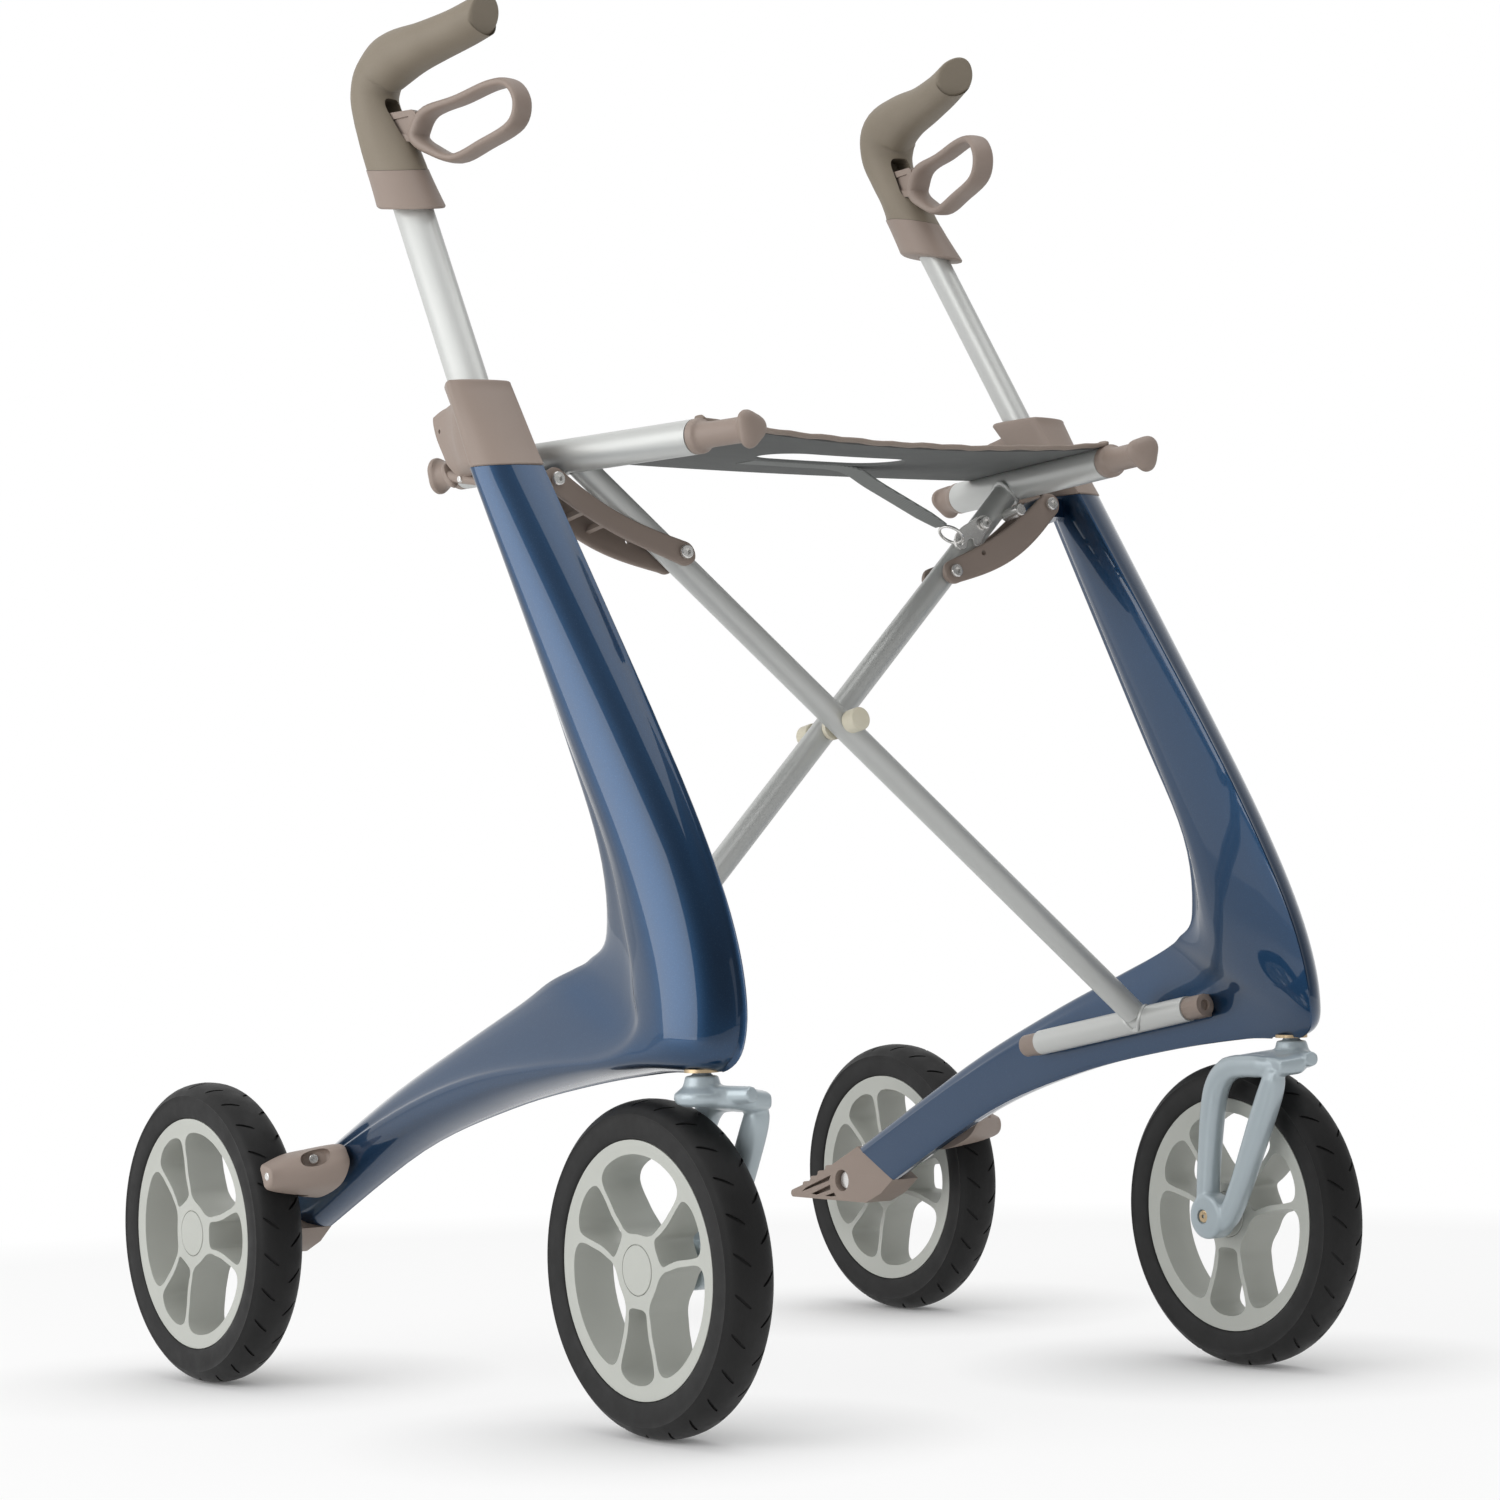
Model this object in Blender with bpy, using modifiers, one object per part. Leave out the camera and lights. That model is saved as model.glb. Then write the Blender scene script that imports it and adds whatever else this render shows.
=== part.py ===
"""A four-wheeled rollator with two lofted side frames, a scissor of two cross tubes that folds it
sideways, a fabric seat between two seat tubes, caster forks, and handles on telescopic posts.

Metres, +Z up. The origin is on the floor, midway between the axles. The front faces -Y and the user's
left is +X. Pieces that come in pairs are modelled on the left and mirrored to the right.
"""
import math

import bmesh
import bpy
from mathutils import Matrix, Vector

# Driving dimensions
RUN_GAP = 0.0003          # clearance between pieces that touch

WHEEL_RADIUS = 0.100
TYRE_WIDTH = 0.034
RIM_RADIUS = 0.0765       # outer radius of the rim, under the tyre
RIM_WIDTH = 0.031
RIM_DEPTH = 0.011         # from the tyre seat to the inside of the rim
WHEEL_STEPS = 28
HUB_RADIUS = 0.0175
HUB_WIDTH = 0.030
HUB_CAP_RADIUS = 0.0134
HUB_CAP_DEPTH = 0.0030
AXLE_RADIUS = 0.0042
SPOKE_SPREAD = math.radians(37)
SPOKE_THICKNESS = 0.0055
SPOKE_WIDTH = 0.021
FRONT_AXLE_Y = -0.2188
REAR_AXLE_Y = 0.2188
AXLE_Z = 0.100            # of the axles while the pieces are modelled; WHEEL_RADIUS then lifts them
LIFT_ONCE_BELOW = 0.165   # below this height a piece rises with the axles
LIFT_TWICE_ABOVE = 0.200  # above it a piece rises with the tops of the tyres
FRONT_WHEEL_X = 0.2365
REAR_WHEEL_X = 0.2954

FRAME_WALL = 0.0025
FRAME_TOP_Z = 0.588
FRAME_TOP_FRONT = (-0.0918, FRAME_TOP_Z)   # y and z of the edges
FRAME_TOP_REAR = (-0.0350, FRAME_TOP_Z)
FRAME_END_FRONT = (REAR_AXLE_Y - 0.0616, AXLE_Z + 0.0035)
FRAME_END_REAR = (REAR_AXLE_Y - 0.0203, AXLE_Z + 0.0265)
FRAME_INNER_X = 0.2185
FRAME_OUTER_X = 0.256
FRAME_TOP_SHAPE = (0.0415, 0.94, 0.0)  # depth of the broadest point and the tail's two sides
FRAME_CREASE = 0.0078     # from the rear edge to the crease
COLLAR_HEIGHT = 0.060
COLLAR_TOP_Z = FRAME_TOP_Z + COLLAR_HEIGHT
COLLAR_EDGE = 0.004       # height of its rounded top edge
COLLAR_SPIGOT_SHARE = 0.22  # of the first span of the shell
SPIGOT_CLEARANCE = 0.0022  # between a spigot and the shell's wall

STEM_Y = -0.2682
STEM_X = FRONT_WHEEL_X
STEM_RADIUS = 0.0052
STEM_TOP_Z = 0.254
BUSH_RADIUS = 0.0076
BUSH_FLANGE_RADIUS = 0.0105
BUSH_FLANGE = 0.0016
BOSS_RADIUS = 0.0128
BOSS_BOTTOM_Z = 0.2170
BOSS_TOP_Z = 0.262
FORK_X = 0.2070           # of the plane of the fork's legs
FORK_BAR_RADIUS = 0.0060
FORK_NECK_RADIUS = 0.0064
FORK_HUB_RADIUS = 0.0125

FOLD_TILT = math.radians(9.6)
FOLD_CENTRE = Vector((0.0, -0.0934, 0.4253))
CROSS_ANGLE = math.radians(42.33)
CROSS_UPPER = 0.2581      # from the centre pivot to the seat tube
CROSS_RADIUS = 0.0085
CROSS_SPACING = 0.021
PIVOT_PIN_RADIUS = 0.0038
PIVOT_CAP_RADIUS = 0.0077
PIVOT_CAP = 0.0115

LOWER_TUBE_RADIUS = 0.0085
LOWER_TUBE_WALL = 0.0015
LOWER_TUBE_REAR = -0.0940  # along the fold axis
LOWER_TUBE_FRONT = 0.0590
EAR_LENGTH = 0.016
EAR_RADIUS = 0.0076
EAR_PLUG = 0.012
EAR_REACH_FRONT = FRAME_INNER_X + 0.0122  # x of the frame's inner face there
EAR_REACH_REAR = FRAME_INNER_X + 0.0129
LOWER_TUBE_OFFSET = 0.00766  # from that face to the lower pivot tube's axis
CROSS_LOWER = (EAR_REACH_FRONT - LOWER_TUBE_OFFSET) / math.cos(CROSS_ANGLE)  # from the centre pivot

SEAT_TUBE_RADIUS = 0.011
SEAT_TUBE_WALL = 0.0015
SEAT_TUBE_FRONT = Vector((0.168, -0.181, 0.5990))
SEAT_TUBE_REAR = Vector((0.208, 0.019, 0.5955))
FRONT_PLUG_LENGTH = 0.052
REAR_PLUG_LENGTH = 0.029
PLUG_NECK_RADIUS = 0.0086
PLUG_KNOB_RADIUS = 0.0140

LUG_REACH = 0.0148        # from the frame's inner face to the link's pivot
LUG_DROP = 0.00908        # from the frame's top to the same pivot
LINK_FRAME_X = FRAME_INNER_X - LUG_REACH
LINK_FRAME_W = (FRAME_TOP_Z - LUG_DROP - FOLD_CENTRE.z) / math.cos(FOLD_TILT)
LINK_TUBE_FROM_CENTRE = 0.1612
LINK_GAP = 0.019          # between the two plates
LINK_PLATE = 0.004
LINK_EYE_RADIUS = 0.0082
LINK_STEP = 0.019         # the length over which the plates step sideways
LINK_JOG = CROSS_SPACING / 2
RIBS_ALONG = (0.024, 0.040)  # from the frame pivot to the link's two ribs
RIB_THICKNESS = 0.003
RIB_DEPTHS = (0.0105, 0.0155)  # below the line between the pivots
LUG_RADIUS = 0.0075
LINK_BOLT_RADIUS = 0.0025
LINK_HEAD_RADIUS = 0.0045
LINK_HEAD = 0.003

POST_LONG = 0.0145        # half the long axis of the oval post
POST_SHORT = 0.0092
POST_TURN = math.radians(25)  # of the long axis, from straight back towards the outside
COLLAR_INNER_X = 0.2145   # at its top, where it reaches round the post
POST_WALL = 0.0016
POST_AT_COLLAR = Vector((0.2279, -0.0168, COLLAR_TOP_Z + 0.0008))
POST_AT_BASE = POST_AT_COLLAR + Vector((-0.0083, 0.0758, 0.1227))
POST_BELOW_COLLAR = 0.088
POST_IN_BASE = 0.030
SPIGOT_LONG = 0.0165      # half axes of the spigot inside the grip
SPIGOT_SHORT = 0.0125
GRIP_PATH = [             # from the base: centre, half width sideways, half width across it
    (Vector((-0.0015, 0.0195, 0.0307)), 0.0190, 0.0152),
    (Vector((-0.0015, 0.0330, 0.0515)), 0.0172, 0.0156),
    (Vector((-0.0015, 0.0435, 0.0685)), 0.0160, 0.0165),
    (Vector((-0.0021, 0.0485, 0.0845)), 0.0158, 0.0195),
    (Vector((-0.0041, 0.0425, 0.1000)), 0.0170, 0.0215),
    (Vector((-0.0071, 0.0210, 0.1080)), 0.0180, 0.0180),
    (Vector((-0.0115, -0.0075, 0.1116)), 0.0165, 0.0145),
    (Vector((-0.0176, -0.0350, 0.1163)), 0.0152, 0.0130),
    (Vector((-0.0232, -0.0572, 0.1221)), 0.0145, 0.0125),
]
GRIP_TIP = (0.0115, 0.0095)  # half widths of its end face
GRIP_TIP_LENGTH = 0.004

PIN_RADIUS = 0.0018
BRAKE_PIVOT = POST_AT_BASE + Vector((-0.0021, 0.0410, 0.0620))
BRAKE_TOE = math.radians(11)
BRAKE_LOOP_WIDTH = 0.013
BRAKE_LOOP_THICKNESS = 0.0048
BRAKE_STUB_WIDTH = 0.0145
CLAMP_PIVOT = Vector((0.2315, 0.0133, FRAME_TOP_Z + 0.0318))
CLAMP_WIDTH = 0.018
CLAMP_LUG = 0.007

END_CAP_INNER_X = 0.2387
END_CAP_OUTER_X = 0.2632
BRAKE_ARM_PIVOT = Vector((0.2705, REAR_AXLE_Y - WHEEL_RADIUS - 0.0008, AXLE_Z + 0.0503))
BRAKE_ARM_INNER_X = 0.2645
BRAKE_ARM_OUTER_X = 0.3085
STUD_RADIUS = 0.0030
STUD_DEPTH = 0.009
SHOE_GAP = 0.0030         # to the tread, with the brake off
COUNTERBORE_RADIUS = 0.0082
COUNTERBORE_DEPTH = 0.010
TOOTH = 0.0105            # pitch of the pedal's teeth
TOOTH_RISE = 0.0022

SEAT_THICKNESS = 0.0030
SEAT_SAG = 0.010
SEAT_SLOT = (0.112, 0.046)
SEAT_SLOT_Y = -0.098
STRAP_WIDTH = 0.020
STRAP_THICKNESS = 0.0016
STRAP_SEWN = 0.042        # half the length sewn to the seat
STRAP_Y = -0.060

LATCH_PIVOT = (0.1526, 0.1440)  # x and w in the scissor's plane
LATCH_THICKNESS = 0.0022
LATCH_BOLT_RADIUS = 0.0022
LATCH_HEAD_RADIUS = 0.0044
LATCH_HOLE = (-0.0325, -0.0108)  # of the ring, from the latch's pivot
RING_RADIUS = 0.0085
RING_WIRE = 0.0011

FOLD_AXIS = Vector((0.0, -math.cos(FOLD_TILT), math.sin(FOLD_TILT)))
FOLD_UP = Vector((0.0, math.sin(FOLD_TILT), math.cos(FOLD_TILT)))
X_AXIS = Vector((1.0, 0.0, 0.0))
Z_AXIS = Vector((0.0, 0.0, 1.0))

PARTS = bpy.data.collections.new("rollator")
CUTTERS = bpy.data.collections.new("cutters")
MATERIALS = {}


# Helpers for objects and materials
def clear_scene():
    for obj in list(bpy.data.objects):
        bpy.data.objects.remove(obj, do_unlink=True)
    bpy.context.scene.collection.children.link(PARTS)
    bpy.context.scene.collection.children.link(CUTTERS)
    CUTTERS.hide_render = True


def make_material(name, color, roughness, metallic=0.0):
    material = bpy.data.materials.new(name)
    material.use_nodes = True
    shader = material.node_tree.nodes["Principled BSDF"]
    shader.inputs["Base Color"].default_value = (*color, 1.0)
    shader.inputs["Roughness"].default_value = roughness
    shader.inputs["Metallic"].default_value = metallic
    MATERIALS[name] = material


def make_materials():
    make_material("navy_paint", (0.010, 0.045, 0.150), 0.15, 0.4)
    make_material("taupe_plastic", (0.280, 0.215, 0.180), 0.50)
    make_material("olive_rubber", (0.240, 0.200, 0.150), 0.60)
    make_material("silver_aluminium", (0.600, 0.610, 0.600), 0.35, 1.0)
    make_material("cream_plastic", (0.700, 0.660, 0.520), 0.45)
    make_material("fork_paint", (0.420, 0.480, 0.510), 0.30, 0.3)
    make_material("grey_plastic", (0.560, 0.570, 0.520), 0.50)
    make_material("tyre_rubber", (0.012, 0.012, 0.013), 0.70)
    make_material("bright_steel", (0.700, 0.690, 0.670), 0.25, 1.0)
    make_material("brass_finish", (0.620, 0.440, 0.200), 0.35, 1.0)
    make_material("seat_fabric", (0.150, 0.150, 0.140), 0.90)
    make_material("grey_webbing", (0.230, 0.240, 0.230), 0.85)


def add_object(data, collection=None):
    obj = bpy.data.objects.new("piece", data)
    (collection or PARTS).objects.link(obj)
    return obj


def object_from_bmesh(bm):
    bmesh.ops.recalc_face_normals(bm, faces=bm.faces)
    if bm.calc_volume(signed=True) < 0.0:
        bmesh.ops.reverse_faces(bm, faces=bm.faces)
    mesh = bpy.data.meshes.new("piece")
    bm.to_mesh(mesh)
    bm.free()
    return add_object(mesh)


def bake(obj):
    """Replaces an object's modifiers, or its curve, by the mesh that they give."""
    graph = bpy.context.evaluated_depsgraph_get()
    mesh = bpy.data.meshes.new_from_object(obj.evaluated_get(graph))
    matrix = obj.matrix_world.copy()
    bpy.data.objects.remove(obj, do_unlink=True)
    bm = bmesh.new()
    bm.from_mesh(mesh)
    bm.transform(matrix)
    bmesh.ops.remove_doubles(bm, verts=bm.verts, dist=0.00001)
    bmesh.ops.dissolve_degenerate(bm, edges=bm.edges, dist=0.000005)
    return object_from_bmesh(bm)


def combine(obj, tool, operation):
    """Joins or cuts obj with tool, and removes the tool."""
    PARTS.objects.unlink(tool)
    CUTTERS.objects.link(tool)
    tool.display_type = "WIRE"
    modifier = obj.modifiers.new(operation.lower(), "BOOLEAN")
    modifier.operation = operation
    modifier.solver = "EXACT"
    modifier.object = tool
    result = bake(obj)
    bpy.data.objects.remove(tool, do_unlink=True)
    return result


def union(obj, *tools):
    for tool in tools:
        obj = combine(obj, tool, "UNION")
    return obj


def cut(obj, *tools):
    for tool in tools:
        obj = combine(obj, tool, "DIFFERENCE")
    return obj


def copy_of(obj):
    return add_object(obj.data.copy())


def moved(obj, matrix):
    obj.data.transform(matrix)
    return obj


def mirrored(obj):
    """The right-hand copy of a left-hand piece."""
    twin = copy_of(obj)
    twin.data.transform(Matrix.Diagonal((-1.0, 1.0, 1.0, 1.0)))
    twin.data.flip_normals()
    return twin


def name_piece(obj, name, material, pivot=None, smooth_angle=32):
    """Names a finished piece, gives it its material and shading, and sets its origin on its pivot."""
    obj.name = name
    obj.data.name = name
    obj.data.materials.clear()
    obj.data.materials.append(MATERIALS[material])
    obj.data.shade_smooth()
    obj.data.set_sharp_from_angle(angle=math.radians(smooth_angle))
    if pivot is not None:
        obj.data.transform(Matrix.Translation(-pivot))
        obj.location = pivot
    return obj


def name_pair(left, name, material, pivot=None, smooth_angle=32):
    right = mirrored(left)
    name_piece(left, name + "_left", material, pivot, smooth_angle)
    if pivot is not None:
        pivot = Vector((-pivot.x, pivot.y, pivot.z))
    name_piece(right, name + "_right", material, pivot, smooth_angle)


# Helpers for shapes
def frame_along(direction, point, side=X_AXIS):
    """A matrix that carries +Z to direction and +X towards side, with the origin at point."""
    z = direction.normalized()
    x = (side - side.dot(z) * z).normalized()
    y = z.cross(x)
    matrix = Matrix((x, y, z)).transposed().to_4x4()
    matrix.translation = point
    return matrix


def rod(start, end, radius, sides=20, end_radius=None):
    bm = bmesh.new()
    top = radius if end_radius is None else end_radius
    length = (end - start).length
    bmesh.ops.create_cone(bm, cap_ends=True, segments=sides, radius1=radius, radius2=top, depth=length)
    side = X_AXIS if abs((end - start).normalized().x) < 0.9 else Z_AXIS
    bm.transform(frame_along(end - start, (start + end) / 2, side))
    return object_from_bmesh(bm)


def box(low, high):
    bm = bmesh.new()
    size = Vector(high) - Vector(low)
    centre = (Vector(high) + Vector(low)) / 2
    bmesh.ops.create_cube(bm, size=1.0)
    bm.transform(Matrix.Translation(centre) @ Matrix.Diagonal((*size, 1.0)))
    return object_from_bmesh(bm)


def turned(profile, base, direction, steps=24, closed=False, phase=0.0):
    """A solid of revolution. The profile holds (radius, height) pairs along direction from base, and
    phase turns its first facet's edge about that direction."""
    mesh = bpy.data.meshes.new("profile")
    points = [(radius, 0.0, height) for radius, height in profile]
    edges = [(i, i + 1) for i in range(len(points) - 1)]
    if closed:
        edges.append((len(points) - 1, 0))
    mesh.from_pydata(points, edges, [])
    obj = add_object(mesh)
    screw = obj.modifiers.new("turn", "SCREW")
    screw.axis = "Z"
    screw.steps = steps
    screw.render_steps = steps
    screw.use_merge_vertices = True
    screw.merge_threshold = 0.00001
    side = X_AXIS if abs(direction.normalized().x) < 0.9 else Z_AXIS
    obj.matrix_world = frame_along(direction, base, side) @ Matrix.Rotation(phase, 4, "Z")
    return bake(obj)


def slab(outlines, thickness, matrix):
    """A flat outline (with any holes after it) of points (u, v), extruded about its plane."""
    curve = bpy.data.curves.new("outline", "CURVE")
    curve.dimensions = "2D"
    curve.fill_mode = "BOTH"
    curve.extrude = thickness / 2
    for outline in outlines:
        spline = curve.splines.new("POLY")
        spline.points.add(len(outline) - 1)
        for point, (u, v) in zip(spline.points, outline):
            point.co = (u, v, 0.0, 1.0)
        spline.use_cyclic_u = True
    obj = add_object(curve)
    obj.matrix_world = matrix
    return bake(obj)


def side_plane(x):
    """A slab plane seen from the side: u runs along +Y and v along +Z, at the given x."""
    return Matrix(((0, 0, 1, x), (1, 0, 0, 0), (0, 1, 0, 0), (0, 0, 0, 1)))


def loft(rings, split=False):
    """A closed solid through rings of points, with its first and last ring capped. split cuts its
    sides into triangles."""
    bm = bmesh.new()
    rows = [[bm.verts.new(point) for point in ring] for ring in rings]
    count = len(rows[0])
    for lower, upper in zip(rows, rows[1:]):
        for i in range(count):
            j = (i + 1) % count
            bm.faces.new((lower[i], lower[j], upper[j], upper[i]))
    bm.faces.new(rows[0][::-1])
    bm.faces.new(rows[-1])
    bmesh.ops.triangulate(bm, faces=[face for face in bm.faces if split or len(face.verts) > 4])
    return object_from_bmesh(bm)


def pipe(outer_rings, inner_rings):
    """A hollow loft, open at both ends, whose wall lies between two sets of rings."""
    bm = bmesh.new()
    sets = [[[bm.verts.new(point) for point in ring] for ring in rings] for rings in (outer_rings, inner_rings)]
    count = len(outer_rings[0])
    for rows in sets:
        for lower, upper in zip(rows, rows[1:]):
            for i in range(count):
                j = (i + 1) % count
                bm.faces.new((lower[i], lower[j], upper[j], upper[i]))
    for end in (0, -1):
        outer, inner = sets[0][end], sets[1][end]
        for i in range(count):
            j = (i + 1) % count
            bm.faces.new((outer[i], outer[j], inner[j], inner[i]))
    return object_from_bmesh(bm)


def tube_path(points, radius, closed=False):
    """A round bar along the points, made from a bevelled curve."""
    curve = bpy.data.curves.new("bar", "CURVE")
    curve.dimensions = "3D"
    curve.bevel_depth = radius
    curve.bevel_resolution = 1
    curve.use_fill_caps = True
    spline = curve.splines.new("POLY")
    spline.points.add(len(points) - 1)
    for i, point in enumerate(points):
        spline.points[i].co = (*point, 1.0)
    spline.use_cyclic_u = closed
    return bake(add_object(curve))


def smooth_through(points, steps):
    """Points of a smooth curve through the given vectors, with steps points in each span."""
    result = []
    last = len(points) - 1
    for i in range(last):
        before = points[max(i - 1, 0)]
        start, end = points[i], points[i + 1]
        after = points[min(i + 2, last)]
        count = steps[i] if isinstance(steps, (list, tuple)) else steps
        for k in range(count):
            t = k / count
            result.append([
                0.5 * (2 * b + (c - a) * t + (2 * a - 5 * b + 4 * c - d) * t * t
                       + (3 * b - a - 3 * c + d) * t ** 3)
                for a, b, c, d in zip(before, start, end, after)
            ])
    result.append(list(points[last]))
    return result


def smooth_loop(points, steps):
    """The same for a closed outline of (u, v) points."""
    count = len(points)
    result = []
    for i in range(count):
        a, b, c, d = (points[(i + k) % count] for k in (-1, 0, 1, 2))
        span = smooth_through([a, b, c, d], steps)
        result.extend(span[steps:2 * steps])
    return result


def inset(outline, distance):
    """A closed outline moved inwards by a distance."""
    count = len(outline)
    area = sum(outline[i - 1][0] * outline[i][1] - outline[i][0] * outline[i - 1][1] for i in range(count))
    turn = 1.0 if area > 0 else -1.0
    result = []
    for i in range(count):
        before, after = outline[i - 1], outline[(i + 1) % count]
        du, dv = after[0] - before[0], after[1] - before[1]
        size = math.hypot(du, dv)
        u, v = outline[i]
        result.append((u - turn * distance * dv / size, v + turn * distance * du / size))
    return result


def arc(centre, radius, start, end, count):
    """Points of an arc in degrees, both ends included."""
    return [
        (centre[0] + radius * math.cos(math.radians(start + (end - start) * k / count)),
         centre[1] + radius * math.sin(math.radians(start + (end - start) * k / count)))
        for k in range(count + 1)
    ]


def placed(outline, u, v):
    """An outline moved so that its zero stands at (u, v)."""
    return [(u + du, v + dv) for du, dv in outline]


def fold_point(x, w, s):
    """A point in the fold frame: x across, w up in the scissor's plane, s forward along its axis."""
    return FOLD_CENTRE + X_AXIS * x + FOLD_UP * w + FOLD_AXIS * s


def oval(centre, long_axis, long_half, short_axis, short_half, count):
    return [
        centre + long_axis * (long_half * math.cos(2 * math.pi * k / count))
        + short_axis * (short_half * math.sin(2 * math.pi * k / count))
        for k in range(count)
    ]


# Side frame
def frame_section(station, shrink=0.0):
    """The shell's section: a round nose at the front, a broad outer face that swells to its widest
    point, a tail that narrows to the rear edge, and a flat inner face. A station holds the front edge
    (y, z), the rear edge (y, z), the inner x, the outer x, the depth of the widest point, and the
    shares of the width where the tail's outer and inner side meet the rear edge."""
    inner_x, outer_x, nose, tail_outer, tail_inner = station[4:]
    front, rear = Vector((0.0, *station[:2])), Vector((0.0, *station[2:4]))
    chord = (rear - front).length
    along = (rear - front) / chord
    front += along * shrink
    chord -= 2 * shrink
    inner_x += shrink
    width = outer_x - shrink - inner_x
    nose -= shrink
    crease = chord - FRAME_CREASE
    tail = tail_outer - tail_inner
    points = []
    for k in range(6):
        angle = math.radians(18 * k)
        points.append((nose * (1 - math.cos(angle)), 0.14 + 0.86 * math.sin(angle)))
    points.append((crease, tail_outer))
    points.append((chord - 0.0008, tail_inner + 0.585 * tail))
    points.append((chord - 0.0015, tail_inner + 0.128 * tail))
    points.append((crease, tail_inner))
    points.append((nose, 0.03 * (1.0 - (nose - 0.0032) / (crease - 0.0032))))
    points.append((0.0032, 0.03))
    return [front + along * depth + X_AXIS * (inner_x + width * share) for depth, share in points]


def frame_stations():
    """The shell's stations from the collar to the end cap."""
    inner, outer = FRAME_INNER_X, FRAME_OUTER_X
    controls = [
        (*FRAME_TOP_FRONT, *FRAME_TOP_REAR, inner, outer, *FRAME_TOP_SHAPE),
        (-0.2030, 0.4300, -0.1310, 0.4300, inner, outer, 0.0503, 0.70, 0.25),
        (-0.2550, 0.3500, -0.1750, 0.3500, inner, outer, 0.0600, 0.70, 0.25),
        (-0.2850, 0.2900, -0.1790, 0.2980, inner + 0.0015, outer + 0.0008, 0.0720, 0.66, 0.30),
        (-0.2950, 0.2430, -0.1640, 0.2825, inner + 0.0045, outer + 0.0020, 0.0760, 0.66, 0.30),
        (-0.2830, 0.2190, -0.1520, 0.2763, inner + 0.0100, outer + 0.0030, 0.0740, 0.68, 0.26),
        (-0.2280, 0.2160, -0.1310, 0.2688, inner + 0.0125, outer + 0.0050, 0.0620, 0.74, 0.20),
        (-0.1500, 0.2060, -0.0980, 0.2563, inner + 0.0127, outer + 0.0050, 0.0460, 0.78, 0.10),
        (-0.0600, 0.1885, -0.0300, 0.2310, inner + 0.0130, outer + 0.0050, 0.0370, 0.82, 0.04),
        (0.0400, 0.1583, 0.0650, 0.1920, inner + 0.0160, outer + 0.0060, 0.0300, 0.85, 0.02),
        (*FRAME_END_FRONT, *FRAME_END_REAR, inner + 0.0192, outer + 0.0072, 0.0345, 0.94, 0.0),
    ]
    return smooth_through(controls, [2, 1, 1, 2, 2, 2, 1, 1, 1, 1])


def between_stations(first, second, share, shrink):
    """The shell's section at a share of the way between two stations, drawn in by shrink."""
    return frame_section([a + (b - a) * share for a, b in zip(first, second)], shrink)


def frame_end_block():
    """A block that fills the arm's end, up to the clearance in front of the plane of its cut end."""
    front, rear = Vector((0.0, *FRAME_END_FRONT)), Vector((0.0, *FRAME_END_REAR))
    along = rear - front
    out = Vector((0.0, along.z, -along.y)).normalized()
    low, high = front - along * 0.4, rear + along * 0.4
    rings = []
    for distance in (-0.03, RUN_GAP):
        rings.append([low + out * distance + X_AXIS * 0.20, low + out * distance + X_AXIS * 0.30,
                      high + out * distance + X_AXIS * 0.30, high + out * distance + X_AXIS * 0.20])
    return loft(rings)


def make_frame():
    stations = frame_stations()
    frame = pipe([frame_section(station) for station in stations],
                 [frame_section(station, FRAME_WALL) for station in stations])
    stem = Vector((STEM_X, STEM_Y, 0.0))
    boss = rod(stem + Z_AXIS * (BOSS_BOTTOM_Z - 0.0080), stem + Z_AXIS * BOSS_TOP_Z, BOSS_RADIUS, 16)
    lug_half = LINK_GAP / 2 - RUN_GAP
    lug_x = LINK_FRAME_X
    lug = rod(fold_point(lug_x, LINK_FRAME_W, -lug_half), fold_point(lug_x, LINK_FRAME_W, lug_half),
              LUG_RADIUS, 12)
    arm = slab([[(lug_x, LINK_FRAME_W - LUG_RADIUS), (FRAME_INNER_X + 0.001, LINK_FRAME_W - LUG_RADIUS),
                 (FRAME_INNER_X + 0.001, LINK_FRAME_W + LUG_RADIUS - 0.002),
                 (lug_x, LINK_FRAME_W + LUG_RADIUS - 0.002)]], 2 * lug_half, fold_plane(0.0))
    frame = union(frame, boss, union(lug, arm))
    bore = rod(stem + Z_AXIS * (BOSS_BOTTOM_Z - 0.02), stem + Z_AXIS * (STEM_TOP_Z + 0.003),
               BUSH_RADIUS + RUN_GAP, 16)
    seat = rod(stem + Z_AXIS * (BOSS_BOTTOM_Z - 0.02), stem + Z_AXIS * BOSS_BOTTOM_Z,
               BOSS_RADIUS + 0.0015, 16)
    bolt_hole = rod(fold_point(lug_x, LINK_FRAME_W, -0.03), fold_point(lug_x, LINK_FRAME_W, 0.03),
                    LINK_BOLT_RADIUS + RUN_GAP, 10)
    stud_start = Vector((BRAKE_ARM_INNER_X - STUD_DEPTH - 0.002, BRAKE_ARM_PIVOT.y, BRAKE_ARM_PIVOT.z))
    stud_hole = rod(stud_start, BRAKE_ARM_PIVOT, STUD_RADIUS + RUN_GAP, 12)
    frame = cut(frame, seat, bore, bolt_hole, stud_hole)
    name_pair(frame, "frame_shell", "navy_paint", smooth_angle=38)


def fold_plane(s):
    """A slab plane in the scissor's plane: u runs along +X and v up, at s along the fold axis."""
    matrix = Matrix((X_AXIS, FOLD_UP, X_AXIS.cross(FOLD_UP))).transposed().to_4x4()
    matrix.translation = fold_point(0.0, 0.0, s)
    return matrix


def post_axes():
    """The post's direction upwards, and the directions of its long and short axis."""
    up = (POST_AT_BASE - POST_AT_COLLAR).normalized()
    outer_rear = Vector((math.sin(POST_TURN), math.cos(POST_TURN), 0.0))
    long_axis = (outer_rear - outer_rear.dot(up) * up).normalized()
    return up, long_axis, up.cross(long_axis)


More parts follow.
